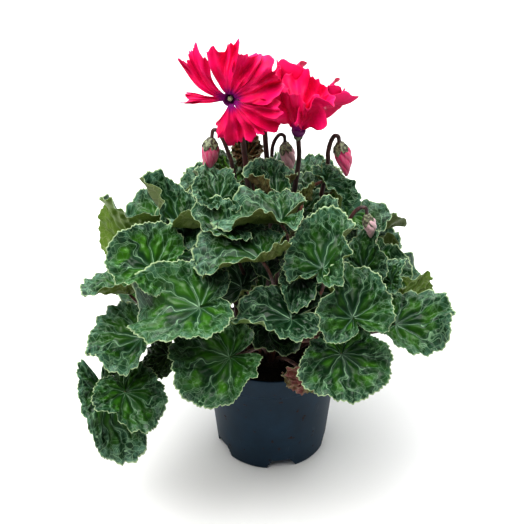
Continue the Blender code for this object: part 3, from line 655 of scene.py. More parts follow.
def build_bud(name, feet, material):
    """A bud of five furled petals: a pointed lathe form with ridges that wind down it."""
    carrier, length, radius, pale = BUDS[name]
    path = stem_path(carrier, feet)
    down = unit(path[-1] - path[-2])
    head = path[-1] + down * (CALYX_LENGTH * 0.35)
    sides, rows = 90, 48
    t = np.linspace(0.0, 1.0, rows)[:, None]
    turn = full_turn(sides)[None, :]
    wind = turn + 2.6 * t
    fold = np.abs(np.sin(2.5 * wind)) ** 0.6
    form = np.sin(math.pi * (0.16 + 0.80 * t ** 0.85)) ** 0.8
    r = radius * form * (0.78 + 0.26 * fold) * (1 - 0.25 * t)
    full = length + CALYX_LENGTH * 0.6
    bow = 1.2 * np.sin(math.pi * t)
    u, v = frames_along(np.array([head, head + down]), SIDE_HINT)
    ring = circle(turn, u[0], v[0])
    rings = head + (full * t)[..., None] * down + r[..., None] * ring + bow[..., None] * u[0]
    skin = Skin()
    skin.rings(rings, 0)
    skin.build("fine_" + name, [material], [name], (pale, 0.0, 0.0))


def add_petal(skin, mouth, frame_rows, petal, seed, fringe):
    """One petal as a fan that bends away from the flower's axis.

    The fan's rays run from the mouth; their slope eases from its first to its last value.
    Ruffles grow with the square of the way out, creases run along the rays, two crossed waves
    crumple the sheet between them, and the edge carries a fine fringe.
    """
    axis, across, beside = frame_rows
    turn, length, half, first, last, ruffle, waves, sweep = petal
    cols, rows = PETAL_GRID
    phi = np.linspace(-1.0, 1.0, cols)[None, :]
    rho = np.linspace(0.0, 1.0, rows)[:, None]
    spread = math.radians(half)
    frill = (3.4 * np.sin(waves * 2.7 * phi + seed) + 1.9 * np.sin(waves * 6.1 * phi + 2 * seed)
             + fringe / MM * (np.abs(np.sin(21 * phi + seed)) + 0.6 * np.sin(47 * phi + seed)))
    edge = length * (1 - 0.06 * phi ** 2 - 0.22 * phi ** 8) + frill
    ray = rho * edge
    toward = phi * spread + math.radians(sweep) * rho
    forth = ray * np.cos(toward)
    sideways = ray * np.sin(toward) + 2.6 * phi * (1 - rho)
    start, end = math.radians(first), math.radians(last)
    slope = start + (end - start) * ease(0.0, 0.55, forth / length)
    step = np.diff(forth, axis=0, prepend=0.0)
    out = np.cumsum(step * np.sin(slope), axis=0)
    rise = np.cumsum(step * np.cos(slope), axis=0)
    wrap = 0.55 * sideways / (out + 16.0)
    radial = math.cos(math.radians(turn)) * across + math.sin(math.radians(turn)) * beside
    tangent = np.cross(axis, radial)
    lift = ruffle * (rho ** 2 * np.sin(2.2 * waves * phi + seed + 2.0 * rho)
                     + 0.50 * rho ** 3 * np.sin(6.1 * waves * phi + 2 * seed + 2.0 * rho))
    crease = np.sin(6 * phi + 2.0 * np.sin(4 * rho + seed)) + 0.5 * np.sin(17 * phi - 3 * rho + seed)
    crumple = np.sin(4.5 * phi + 6.5 * rho + 2 * seed) * np.sin(7.5 * phi - 4.0 * rho + seed)
    lift = lift + 0.9 * rho ** 1.2 * crease + 0.60 * ruffle * rho * crumple

    def sheet_at(height):
        """The petal's points at a height off its smooth form, towards the axis."""
        far = 4.2 + out - height * np.cos(slope)
        tall = rise + height * np.sin(slope)
        side = 0.45 * sideways
        return (mouth + tall[..., None] * axis + (far * np.cos(wrap))[..., None] * radial
                + (far * np.sin(wrap) + side)[..., None] * tangent)

    thin = 0.45 * (1 - 0.4 * rho ** 4)
    sheet = np.stack(np.broadcast_arrays(phi * half / 30.0, rho), axis=-1)
    blade = np.stack([sideways, forth], axis=-1) / 10
    skin.plate(sheet_at(lift + thin / 2), sheet_at(lift - thin / 2), (0, 0), sheet, blade)


def build_flower(name, materials, fringe):
    """A flower: its petals, the ring of the mouth, and the cone of anthers in it."""
    mouth, axis, petals = FLOWERS[name]
    mouth = np.array(mouth, float)
    axis = unit(np.array(axis, float))
    across = unit(np.array([1.0, 0.0, 0.0]) - axis * axis[0])
    rows = (axis, across, np.cross(axis, across))
    skin = Skin()
    for k, petal in enumerate(petals):
        add_petal(skin, mouth, rows, petal, 1.7 * k + mouth[0], fringe)
    turn = full_turn(40)
    ring = circle(turn, across, rows[2])
    profile = [(1.5, -6.5), (4.6, -4.5), (6.0, -1.5), (6.0, 0.4), (5.5, 0.9), (5.0, 0.4),
               (4.6, -1.5), (3.0, -4.0), (0.8, -5.2)]
    wall = np.array([mouth + axis * h + ring * r for r, h in profile])
    skin.rings(wall[::-1], 1)
    for k in range(5):
        a = 2 * math.pi * k / 5
        base = mouth + axis * -4.0 + (math.cos(a) * across + math.sin(a) * rows[2]) * 1.6
        tip = mouth + axis * 1.6 + (math.cos(a) * across + math.sin(a) * rows[2]) * 0.5
        path = base + np.linspace(0, 1, 8)[:, None] * (tip - base)
        skin.rings(tube(path, np.array([0.4, 0.9, 1.1, 1.1, 1.0, 0.8, 0.5, 0.2]), 8, across), 2)
    skin.build("fine_" + name, materials, [name])


# ---------------------------------------------------------------- pot, soil, corm

def wall_radius(z):
    """Outer radius of the pot's wall below the collar."""
    return POT_BASE_R + (POT_RIM_R - COLLAR_STEP - POT_BASE_R) * z / POT_HEIGHT


def build_pot(material):
    """The pot, turned from its section; five sunk notches push the foot's wall inward.

    The notch is a mask over turn and height: 1 inside a trapezoid, 0 outside, with steep sides.
    """
    low = POT_HEIGHT - COLLAR_HEIGHT
    base = [(0.5, 2.2), (NOTCH_START - 3, 2.2), (NOTCH_START, 2.0), (POT_BASE_R - 4.0, 0.2),
            (POT_BASE_R - 2.0, 0.0), (POT_BASE_R - 0.6, 0.4)]
    rise = [(wall_radius(z), z) for z in (1.0, 2.5, 5.0, 8.0, 9.4, 10.0, 10.6, 12.0, 14.0)]
    rise += [(wall_radius(z), z) for z in np.linspace(18.0, low - 1.0, 18)]
    steps = ease(0, 1, np.linspace(0, 1, 7))
    collar = [(wall_radius(low) + COLLAR_STEP * k, low + 0.9 * k - 0.4) for k in steps]
    collar += [(wall_radius(low) + COLLAR_STEP + (POT_RIM_R - wall_radius(low) - COLLAR_STEP) * k / 6,
                low + 0.7 + (COLLAR_HEIGHT - 2.2) * k / 6) for k in range(1, 7)]
    rim = [(POT_RIM_R - 0.1, POT_HEIGHT - 0.8), (POT_RIM_R - 0.4, POT_HEIGHT - 0.2),
           (POT_RIM_R - 0.9, POT_HEIGHT), (POT_RIM_R - 1.4, POT_HEIGHT - 0.4),
           (POT_RIM_R - POT_WALL - 0.1, POT_HEIGHT - 1.2)]
    inside = [(wall_radius(z) - POT_WALL, z) for z in (low, 70.0, 30.0, 12.0)]
    floor = [(NOTCH_START - 2, 11.0), (1.0, 11.0)]
    section = np.array(base + rise + collar + rim + inside + floor)
    sides = POT_SIDES
    turn = full_turn(sides)
    r = np.repeat(section[:, :1], sides, axis=1)
    z = np.repeat(section[:, 1:], sides, axis=1)
    pitch = 2 * math.pi / NOTCH_COUNT
    off = (turn - math.radians(NOTCH_FIRST) + pitch / 2) % pitch - pitch / 2
    half = NOTCH_HALF_BOTTOM + (NOTCH_HALF_TOP - NOTCH_HALF_BOTTOM) * z / NOTCH_HEIGHT
    beside = np.abs(off)[None, :] * r
    outer = (np.arange(len(section)) < len(base) + len(rise))[:, None]
    mask = outer * ease(0.35, -0.35, beside - half) * ease(0.5, -0.3, z - NOTCH_HEIGHT) * (r > NOTCH_START)
    r = r - mask * (r - NOTCH_START - 0.5)
    z = z + mask * (z < 2.0) * (2.0 - z)
    rings = lathe(r, turn, z)
    around = np.linspace(0, 2 * math.pi, sides + 1)
    sheet = np.stack(np.broadcast_arrays(around[None, :] * POT_RIM_R / 10, section[:, 1:] / 10), axis=-1)
    skin = Skin()
    skin.rings(rings[::-1], 0, sheet[::-1])
    skin.build("fine_pot", [material], ["pot"])


def build_soil(material):
    """The crumbly top of the potting mix, a shallow heap with waves of three sizes."""
    sides, rows = 180, 60
    turn = full_turn(sides)[None, :]
    r = (POT_RIM_R - POT_WALL - 1.2) * np.linspace(0.02, 1.0, rows)[:, None]
    x, y = r * np.cos(turn), r * np.sin(turn)
    rough = (0.9 * np.sin(x * 0.31 + 1.3 * np.sin(y * 0.23)) * np.sin(y * 0.37 + 0.6)
             + 0.6 * np.sin(x * 1.13 + 2.0 * np.sin(y * 0.7)) * np.sin(y * 0.97 + np.sin(x * 0.9))
             + 0.45 * np.sin(x * 2.9 + 3.0 * np.sin(y * 1.7)) * np.sin(y * 3.1 + 2 * np.sin(x * 2.3)))
    z = SOIL_TOP - 2.4 + rough - 2.0 * ease(CORM_R + 4, POT_RIM_R, r)
    top = lathe(r, turn, z)
    under = lathe(r, turn, SOIL_TOP - SOIL_DEPTH)
    skin = Skin()
    skin.rings(np.concatenate([top, under[::-1]]), 0)
    skin.build("fine_soil", [material], ["soil"])


def build_corm(material):
    """The corm, a flattened ball with a corky, uneven skin."""
    sides, rows = 96, 40
    turn = full_turn(sides)[None, :]
    polar = np.linspace(0.03, math.pi - 0.03, rows)[:, None]
    bump = (0.35 * np.sin(5 * turn + 3 * polar) * np.sin(7 * polar)
            + 0.25 * np.sin(17 * turn) * np.sin(13 * polar + 1.0)) * np.sin(polar)
    r = (CORM_R - 0.6 + bump) * np.sin(polar)
    tall = np.where(polar < math.pi / 2, CORM_TOP - CORM_MIDDLE - 0.4, 9.5)
    z = CORM_MIDDLE + tall * np.cos(polar) + 0.5 * bump
    skin = Skin()
    skin.rings(lathe(r, turn, z), 0)
    skin.build("fine_corm", [material], ["corm"])


# ---------------------------------------------------------------- shader helpers

def node(tree, kind, inputs=None, **settings):
    """Add a shader node; inputs are linked when they are sockets and set when they are values."""
    made = tree.nodes.new(kind)
    for key, value in settings.items():
        setattr(made, key, value)
    for key, value in (inputs or {}).items():
        if isinstance(value, bpy.types.NodeSocket):
            tree.links.new(value, made.inputs[key])
        else:
            made.inputs[key].default_value = value
    return made


def calc(tree, operation, a, b=0.0, clamp=False):
    """The result of a Math node."""
    return node(tree, 'ShaderNodeMath', {0: a, 1: b}, operation=operation, use_clamp=clamp).outputs[0]


def times(tree, a, b):
    """The product of two values."""
    return calc(tree, 'MULTIPLY', a, b)


def plus(tree, a, b, clamp=False):
    """The sum of two values."""
    return calc(tree, 'ADD', a, b, clamp)


def minus(tree, a, b, clamp=False):
    """The first value less the second."""
    return calc(tree, 'SUBTRACT', a, b, clamp)


def invert(tree, a):
    """One less the value."""
    return calc(tree, 'SUBTRACT', 1.0, a)


def step_up(tree, value, low, high):
    """0 below low, 1 above high, smooth between; the ends may be sockets."""
    made = node(tree, 'ShaderNodeMapRange', {"Value": value, "From Min": low, "From Max": high},
                interpolation_type='SMOOTHSTEP')
    return made.outputs["Result"]


def blend(tree, share, a, b):
    """Two colours mixed by a share."""
    made = node(tree, 'ShaderNodeMix', data_type='RGBA')
    for slot, value in ((0, share), (6, a), (7, b)):
        if isinstance(value, bpy.types.NodeSocket):
            tree.links.new(value, made.inputs[slot])
        elif slot:
            made.inputs[slot].default_value = (*value[:3], 1.0)
        else:
            made.inputs[slot].default_value = value
    return made.outputs[2]


def noise(tree, vector, scale, detail=3.0, rough=0.55):
    """A fractal noise's value."""
    return node(tree, 'ShaderNodeTexNoise', {"Vector": vector, "Scale": scale, "Detail": detail,
                                             "Roughness": rough}).outputs["Fac"]


def centred(tree, value, size):
    """A value between 0 and 1 moved to lie round 0, times a size."""
    return times(tree, minus(tree, value, 0.5), size)


def object_place(tree):
    """The point's place in metres."""
    return node(tree, 'ShaderNodeTexCoord').outputs["Object"]


def group(name, takes, gives):
    """An empty node group with named float or vector sockets; returns it with its two ends."""
    tree = bpy.data.node_groups.new(name, 'ShaderNodeTree')
    for label, kind in takes:
        tree.interface.new_socket(label, in_out='INPUT', socket_type=kind)
    for label, kind in gives:
        tree.interface.new_socket(label, in_out='OUTPUT', socket_type=kind)
    return tree, tree.nodes.new('NodeGroupInput'), tree.nodes.new('NodeGroupOutput')


def placed(tree, shared, inputs):
    """A shared group placed in a material with its own values."""
    made = tree.nodes.new('ShaderNodeGroup')
    made.node_tree = shared
    for key, value in inputs.items():
        if isinstance(value, bpy.types.NodeSocket):
            tree.links.new(value, made.inputs[key])
        else:
            made.inputs[key].default_value = value
    return made.outputs


def line_mask(tree, distance, width):
    """1 on a line, 0 beyond its width."""
    return invert(tree, step_up(tree, distance, times(tree, width, 0.35), width))


def make_vein_group():
    """Palmate veins on the sheet map, whose x counts vein sectors and y runs from joint to rim.

    Each vein runs along the middle of its sector, forks at 0.42 and again at 0.68 of the way
    out, and a net of small cells joins the branches near the rim.
    """
    tree, given, result = group(
        "leaf_veins", [("Sheet", 'NodeSocketVector'), ("Blade", 'NodeSocketVector')],
        [("Veins", 'NodeSocketFloat'), ("Glow", 'NodeSocketFloat'), ("Net", 'NodeSocketFloat'),
         ("Between", 'NodeSocketFloat'), ("Reach", 'NodeSocketFloat')])
    sheet, blade = given.outputs["Sheet"], given.outputs["Blade"]
    parts = node(tree, 'ShaderNodeSeparateXYZ', {"Vector": sheet})
    sector, reach = parts.outputs["X"], parts.outputs["Y"]
    wander = minus(tree, noise(tree, blade, 0.62, 1.0), 0.5)
    sector = plus(tree, sector, times(tree, wander, 1.5))
    from_vein = calc(tree, 'PINGPONG', sector, 0.5)

    def fork(start, spread):
        """How far a branch has left its parent vein."""
        way = calc(tree, 'DIVIDE', minus(tree, reach, start, True), 1.0 - start)
        return times(tree, calc(tree, 'POWER', way, 0.72), spread)

    def line(distance, wide, tip):
        """A tapering line; distance is in sectors, so it is scaled by the way out."""
        width = plus(tree, wide, times(tree, reach, tip - wide))
        return line_mask(tree, times(tree, distance, reach), width)

    def past(edge, soft=0.02):
        """1 beyond a distance from the joint."""
        return step_up(tree, reach, edge - soft, edge + soft)

    first = times(tree, line(from_vein, 0.017, 0.009),
                 invert(tree, step_up(tree, reach, 0.46, 0.60)))
    branch = calc(tree, 'ABSOLUTE', minus(tree, from_vein, fork(0.42, 0.27)))
    second = times(tree, line(branch, 0.016, 0.009), past(0.42))
    second = times(tree, second, invert(tree, step_up(tree, reach, 0.74, 0.86)))
    twig = calc(tree, 'ABSOLUTE', minus(tree, branch, fork(0.68, 0.13)))
    third = times(tree, line(twig, 0.013, 0.008), past(0.68))
    veins = calc(tree, 'MAXIMUM', calc(tree, 'MAXIMUM', first, second), third)
    glow = calc(tree, 'MAXIMUM',
                times(tree, line(from_vein, 0.10, 0.05),
                     invert(tree, step_up(tree, reach, 0.46, 0.62))),
                times(tree, line(branch, 0.10, 0.07), past(0.42, 0.06)))
    warp = node(tree, 'ShaderNodeTexNoise', {"Vector": blade, "Scale": 1.8, "Detail": 2.0})
    soft = node(tree, 'ShaderNodeVectorMath', {0: warp.outputs["Color"]}, operation='SCALE')
    soft.inputs["Scale"].default_value = 0.35
    bent = node(tree, 'ShaderNodeVectorMath', {0: blade, 1: soft.outputs[0]}, operation='ADD')
    cells = node(tree, 'ShaderNodeTexVoronoi', {"Vector": bent.outputs[0], "Scale": 1.9},
                 feature='DISTANCE_TO_EDGE')
    net = times(tree, line_mask(tree, cells.outputs["Distance"], 0.065), past(0.62, 0.30))
    between = times(tree, step_up(tree, from_vein, 0.06, 0.36),
                   minus(tree, past(0.22, 0.16), past(0.80, 0.16), True))
    for label, socket in (("Veins", veins), ("Glow", glow), ("Net", net), ("Between", between),
                          ("Reach", reach)):
        tree.links.new(socket, result.inputs[label])
    return tree


def make_grain_group():
    """Fine skin: a height made of two sizes of noise, for a Bump node."""
    tree, given, result = group(
        "skin_grain", [("Vector", 'NodeSocketVector'), ("Scale", 'NodeSocketFloat')],
        [("Height", 'NodeSocketFloat'), ("Mottle", 'NodeSocketFloat')])
    fine = noise(tree, given.outputs["Vector"], given.outputs["Scale"], 4.0, 0.6)
    coarse = noise(tree, given.outputs["Vector"], times(tree, given.outputs["Scale"], 0.18), 3.0)
    tree.links.new(plus(tree, times(tree, fine, 0.6), times(tree, coarse, 0.4)),
                   result.inputs["Height"])
    tree.links.new(coarse, result.inputs["Mottle"])
    return tree


def new_material(name, roughness, sheen=0.0, gloss=0.5):
    """A Principled material; returns it with its tree and shader."""
    material = bpy.data.materials.new(name)
    material.use_nodes = True
    shader = material.node_tree.nodes["Principled BSDF"]
    shader.inputs["Roughness"].default_value = roughness
    shader.inputs["Sheen Weight"].default_value = sheen
    shader.inputs["Specular IOR Level"].default_value = gloss
    return material, material.node_tree, shader


def paint(tree, shader, colour):
    """Send a colour to the shader."""
    tree.links.new(colour, shader.inputs["Base Color"])


def bump(tree, shader, height, strength, distance):
    """Send a height to the shader's normal."""
    made = node(tree, 'ShaderNodeBump', {"Height": height, "Strength": strength, "Distance": distance})
    tree.links.new(made.outputs["Normal"], shader.inputs["Normal"])


def grain_bump(tree, shader, shared, scale, strength, distance, share=1.0, extra=None):
    """Bump the surface with a share of fine grain, on top of another height if one is given."""
    grain = placed(tree, shared["grain"], {"Vector": object_place(tree), "Scale": scale})
    height = times(tree, grain["Height"], share)
    bump(tree, shader, height if extra is None else plus(tree, height, extra), strength, distance)


def leaf_sockets(tree):
    """The leaf's two maps and its silver, fresh and blush values."""
    sheet = node(tree, 'ShaderNodeUVMap', uv_map="sheet").outputs["UV"]
    blade = node(tree, 'ShaderNodeUVMap', uv_map="blade").outputs["UV"]
    traits = node(tree, 'ShaderNodeAttribute', attribute_name="traits").outputs["Vector"]
    parts = node(tree, 'ShaderNodeSeparateXYZ', {"Vector": traits})
    return sheet, blade, parts.outputs["X"], parts.outputs["Y"], parts.outputs["Z"]


def leaf_top_material(shared, settings):
    """Upper face: deep green with fresher swells (partly their own tone, partly a painted highlight on the
    bulges) and patches, a silver bloom outward, pale veins.
    """
    material, tree, shader = new_material("leaf_top", 0.42, 0.0, 0.30)
    sheet, blade, silver, fresh, blush = leaf_sockets(tree)
    veins = placed(tree, shared["veins"], {"Sheet": sheet, "Blade": blade})
    place = object_place(tree)
    broad = noise(tree, place, 45.0, 2.0)
    patch = noise(tree, blade, 0.9, 3.0)
    colour = blend(tree, times(tree, patch, 0.8), settings.deep, (0.006, 0.044, 0.009))
    # the swells between the veins take the fresh green: partly the leaf's own tone, partly a painted
    # highlight where light catches the bulges
    swell_green_and_highlight = times(tree, veins["Between"], times(tree, fresh, step_up(tree, broad, 0.34, 0.56)))
    colour = blend(tree, times(tree, swell_green_and_highlight, 1.0), colour, settings.fresh)
    flush = times(tree, times(tree, fresh, 0.9), step_up(tree, noise(tree, place, 22.0, 2.0), 0.42, 0.62))
    colour = blend(tree, flush, colour, (0.024, 0.100, 0.007))
    outward = plus(tree, veins["Reach"], centred(tree, patch, 0.7))
    blotch = step_up(tree, noise(tree, blade, 2.6, 3.0), 0.36, 0.58)
    bloom = times(tree, step_up(tree, outward, 0.70, 1.06), times(tree, silver, blotch))
    colour = blend(tree, bloom, colour, settings.silver)
    halo = times(tree, veins["Glow"], plus(tree, 0.05, times(tree, silver, 0.22)))
    colour = blend(tree, halo, colour, settings.silver)
    colour = blend(tree, times(tree, step_up(tree, blush, 0.5, 1.0), 0.85), colour, (0.105, 0.045, 0.020))
    net = times(tree, veins["Net"], plus(tree, 0.16, times(tree, silver, 0.2)))
    colour = blend(tree, net, colour, settings.vein)
    lit = plus(tree, 0.25, times(tree, step_up(tree, noise(tree, blade, 0.55, 1.0), 0.36, 0.60), 0.50))
    colour = blend(tree, times(tree, veins["Veins"], lit), colour, settings.vein)
    rim = step_up(tree, veins["Reach"], 0.970, 0.996)
    colour = blend(tree, times(tree, rim, 0.85), colour, (0.42, 0.54, 0.30))
    paint(tree, shader, colour)
    grain = placed(tree, shared["grain"], {"Vector": place, "Scale": 900.0})
    tree.links.new(plus(tree, 0.17, times(tree, grain["Mottle"], 0.34)), shader.inputs["Roughness"])
    height = minus(tree, times(tree, grain["Height"], 0.35),
                  plus(tree, times(tree, veins["Veins"], 0.6), times(tree, veins["Net"], 0.35)))
    bump(tree, shader, height, 0.55, 0.0007)
    return material


def leaf_under_material(shared):
    """Underside: pale olive with raised veins, browner where the leaf is young."""
    material, tree, shader = new_material("leaf_under", 0.5, 0.0, 0.3)
    sheet, blade, silver, fresh, blush = leaf_sockets(tree)
    veins = placed(tree, shared["veins"], {"Sheet": sheet, "Blade": blade})
    place = object_place(tree)
    patch = noise(tree, place, 60.0, 3.0)
    colour = blend(tree, patch, (0.045, 0.088, 0.014), (0.110, 0.175, 0.036))
    colour = blend(tree, times(tree, fresh, 0.75), colour, (0.105, 0.185, 0.014))
    colour = blend(tree, times(tree, blush, step_up(tree, patch, 0.15, 0.50)), colour, (0.17, 0.050, 0.048))
    colour = blend(tree, times(tree, veins["Veins"], 0.45), colour, (0.30, 0.33, 0.16))
    colour = blend(tree, times(tree, veins["Net"], 0.22), colour, (0.26, 0.30, 0.14))
    paint(tree, shader, colour)
    grain = placed(tree, shared["grain"], {"Vector": place, "Scale": 800.0})
    height = plus(tree, times(tree, grain["Height"], 0.3),
                  plus(tree, times(tree, veins["Veins"], 0.8), times(tree, veins["Net"], 0.3)))
    bump(tree, shader, height, 0.5, 0.0008)
    return material


def stalk_material(shared, name, pale, dark):
    """Stalks and stems: red-brown streaks along a hairy skin."""
    material, tree, shader = new_material(name, 0.46, 0.15)
    place = object_place(tree)
    stretched = node(tree, 'ShaderNodeMapping', {"Vector": place, "Scale": (1.0, 1.0, 0.12)}).outputs[0]
    streak = noise(tree, stretched, 700.0, 3.0)
    patch = noise(tree, place, 60.0, 2.0)
    colour = blend(tree, step_up(tree, plus(tree, streak, minus(tree, patch, 0.5)), 0.35, 0.70), dark, pale)
    paint(tree, shader, colour)
    grain_bump(tree, shader, shared, 1500.0, 0.4, 0.0004)
    return material


def calyx_material(shared):
    """Sepals: grey-green with dark blotches and streaks."""
    material, tree, shader = new_material("calyx", 0.5, 0.2)
    place = object_place(tree)
    spot = noise(tree, place, 420.0, 3.0)
    colour = blend(tree, step_up(tree, spot, 0.40, 0.62), (0.045, 0.035, 0.025), (0.26, 0.30, 0.17))
    paint(tree, shader, colour)
    grain_bump(tree, shader, shared, 1400.0, 0.4, 0.0005)
    return material


def petal_material(shared, settings):
    """Petals: hot pink-red, violet at the mouth, paler at the fringe as a painted sheen, with faint long
    veins.
    """
    material, tree, shader = new_material("petal", 0.55, 0.0, 0.22)
    sheet = node(tree, 'ShaderNodeUVMap', uv_map="sheet").outputs["UV"]
    blade = node(tree, 'ShaderNodeUVMap', uv_map="blade").outputs["UV"]
    parts = node(tree, 'ShaderNodeSeparateXYZ', {"Vector": sheet})
    across, reach = parts.outputs["X"], parts.outputs["Y"]
    patch = noise(tree, blade, 0.8, 3.0)
    long_way = node(tree, 'ShaderNodeCombineXYZ', {0: times(tree, across, 11.0), 1: times(tree, reach, 1.6)})
    rays = noise(tree, long_way.outputs[0], 1.6, 3.0)
    colour = blend(tree, step_up(tree, patch, 0.30, 0.75), (0.60, 0.001, 0.060), settings.petal)
    colour = blend(tree, times(tree, step_up(tree, rays, 0.50, 0.80), 0.35), colour, (0.90, 0.022, 0.200))
    # the paler pink along the fringe is a painted sheen on the petals' rims
    fringe = step_up(tree, plus(tree, reach, centred(tree, patch, 0.25)), 0.80, 1.05)
    colour = blend(tree, times(tree, fringe, 0.35), colour, (0.95, 0.028, 0.190))
    inner = invert(tree, step_up(tree, plus(tree, reach, centred(tree, rays, 0.2)), 0.05, 0.30))
    colour = blend(tree, inner, colour, settings.throat)
    paint(tree, shader, colour)
    grain_bump(tree, shader, shared, 1100.0, 0.22, 0.0006, 0.25, times(tree, rays, 0.5))
    return material


def throat_material(settings):
    """The mouth's ring: dark violet."""
    material, tree, shader = new_material("throat", 0.5)
    place = object_place(tree)
    colour = blend(tree, noise(tree, place, 260.0, 2.0), (0.05, 0.0, 0.05), settings.throat)
    paint(tree, shader, colour)
    return material


def anther_material(shared):
    """Anthers: pale cream-green, grainy."""
    material, tree, shader = new_material("anther", 0.7)
    place = object_place(tree)
    colour = blend(tree, noise(tree, place, 900.0, 3.0), (0.20, 0.22, 0.10), (0.62, 0.62, 0.42))
    paint(tree, shader, colour)
    grain_bump(tree, shader, shared, 2000.0, 0.6, 0.0004)
    return material


def bud_material(shared):
    """Furled petals of a bud: pink streaks that wind with the folds, pale when young."""
    material, tree, shader = new_material("bud", 0.5, 0.3)
    sheet = node(tree, 'ShaderNodeUVMap', uv_map="sheet").outputs["UV"]
    parts = node(tree, 'ShaderNodeSeparateXYZ', {"Vector": sheet})
    traits = node(tree, 'ShaderNodeAttribute', attribute_name="traits").outputs["Vector"]
    pale = node(tree, 'ShaderNodeSeparateXYZ', {"Vector": traits}).outputs["X"]
    place = object_place(tree)
    streak = noise(tree, node(tree, 'ShaderNodeCombineXYZ', {
        0: times(tree, parts.outputs["Y"], 9.0), 1: parts.outputs["X"]}).outputs[0], 2.4, 3.0)
    patch = noise(tree, place, 160.0, 2.0)
    hot = blend(tree, patch, (0.50, 0.008, 0.12), (0.80, 0.020, 0.17))
    soft = blend(tree, patch, (0.55, 0.33, 0.36), (0.72, 0.50, 0.52))
    colour = blend(tree, plus(tree, centred(tree, streak, 1.5), pale, True), hot, soft)
    paint(tree, shader, colour)
    grain_bump(tree, shader, shared, 1200.0, 0.3, 0.0006, 0.3, streak)
    return material


def pot_material(shared, settings):
    """Moulded slate plastic with dried water marks, dust and a few crumbs of soil."""
    material, tree, shader = new_material("pot_plastic", 0.42, 0.0, 0.22)
    place = object_place(tree)
    dust = noise(tree, place, 28.0, 5.0, 0.65)
    dusty = tuple(v * 1.5 + 0.003 for v in settings.plastic)
    colour = blend(tree, step_up(tree, dust, 0.35, 0.75), settings.plastic, dusty)
    tall = node(tree, 'ShaderNodeMapping', {"Vector": place, "Scale": (1.0, 1.0, 0.25)}).outputs[0]
    marks = step_up(tree, noise(tree, tall, 110.0, 4.0, 0.7), 0.62, 0.72)
    colour = blend(tree, times(tree, marks, 0.15), colour, (0.08, 0.11, 0.13))
    crumbs = step_up(tree, noise(tree, place, 120.0, 3.0, 0.6), 0.655, 0.685)
    colour = blend(tree, times(tree, crumbs, 0.85), colour, (0.030, 0.012, 0.006))
    paint(tree, shader, colour)
    rough = plus(tree, 0.36, times(tree, dust, 0.22))
    tree.links.new(plus(tree, rough, times(tree, crumbs, 0.3)), shader.inputs["Roughness"])
    grain_bump(tree, shader, shared, 1600.0, 0.3, 0.0006, 0.25, crumbs)
    return material


def earth_material(name, dark, light, size):
    """Potting mix or the corm's cork: rough, dark and crumbly."""
    material, tree, shader = new_material(name, 0.92)
    place = object_place(tree)
    lump = node(tree, 'ShaderNodeTexVoronoi', {"Vector": place, "Scale": size}).outputs["Distance"]
    fleck = noise(tree, place, size * 1.7, 4.0, 0.7)
    colour = blend(tree, step_up(tree, fleck, 0.42, 0.70), dark, light)
    paint(tree, shader, colour)
    bump(tree, shader, plus(tree, lump, fleck), 0.9, 0.0015)
    return material


# ---------------------------------------------------------------- operators

def shared_groups():
    """The node groups that several materials use, made once."""
    if "leaf_veins" not in bpy.data.node_groups:
        make_vein_group()
        make_grain_group()
    return {"veins": bpy.data.node_groups["leaf_veins"], "grain": bpy.data.node_groups["skin_grain"]}


class CYCLAMEN_OT_pot(bpy.types.Operator):
    """Turn the pot with its collar and its sunk drainage notches"""

    bl_idname = "cyclamen.pot"
    bl_label = "Pot"

    def execute(self, context):
        build_pot(pot_material(shared_groups(), context.scene.cyclamen_pot))
        return {'FINISHED'}


class CYCLAMEN_OT_ground(bpy.types.Operator):
    """Lay the potting mix and the corm"""

    bl_idname = "cyclamen.ground"
    bl_label = "Soil and corm"

    def execute(self, context):
        build_soil(earth_material("potting_mix", (0.006, 0.004, 0.003), (0.035, 0.022, 0.013), 420.0))
        build_corm(earth_material("corm_cork", (0.022, 0.013, 0.008), (0.085, 0.055, 0.032), 300.0))
        return {'FINISHED'}


class CYCLAMEN_OT_leaves(bpy.types.Operator):
    """Grow every leaf: blade and stalk"""

    bl_idname = "cyclamen.leaves"
    bl_label = "Leaves"

    def execute(self, context):
        settings = context.scene.cyclamen_leaf
        shared = shared_groups()
        materials = [leaf_top_material(shared, settings), leaf_under_material(shared),
                     stalk_material(shared, "leaf_stalk", (0.16, 0.055, 0.035), (0.045, 0.014, 0.010))]
        feet = spread_feet()[len(STEMS):]
        for order, ((name, row), foot) in enumerate(zip(LEAVES.items(), feet)):
            build_leaf(name, row, foot, order, materials, settings)
        return {'FINISHED'}


class CYCLAMEN_OT_stems(bpy.types.Operator):
    """Raise the flower stems with their calyces"""

    bl_idname = "cyclamen.stems"
    bl_label = "Stems"

    def execute(self, context):
        shared = shared_groups()
        materials = [stalk_material(shared, "stem_skin", (0.085, 0.026, 0.024), (0.022, 0.008, 0.008)),
                     calyx_material(shared)]
        feet = spread_feet()
        for name in STEMS:
            build_stem(name, feet, materials)
        return {'FINISHED'}


class CYCLAMEN_OT_buds(bpy.types.Operator):
    """Hang the furled buds from their stems"""

    bl_idname = "cyclamen.buds"
    bl_label = "Buds"

    def execute(self, context):
        material = bud_material(shared_groups())
        feet = spread_feet()
        for name in BUDS:
            build_bud(name, feet, material)
        return {'FINISHED'}


class CYCLAMEN_OT_flowers(bpy.types.Operator):
    """Open the three ruffled flowers"""

    bl_idname = "cyclamen.flowers"
    bl_label = "Flowers"

    def execute(self, context):
        settings = context.scene.cyclamen_flower
        shared = shared_groups()
        materials = [petal_material(shared, settings), throat_material(settings),
                     anther_material(shared)]
        for name in FLOWERS:
            build_flower(name, materials, settings.fringe)
        return {'FINISHED'}


def add_light(name, place, target, size, power, colour=(1.0, 1.0, 1.0)):
    """A square area light aimed at a point."""
    light = bpy.data.lights.new(name, 'AREA')
    light.size = size
    light.energy = power
    light.color = colour
    lamp = bpy.data.objects.new(name, light)
    lamp.location = place
    aim(lamp, target)
    bpy.context.scene.collection.objects.link(lamp)


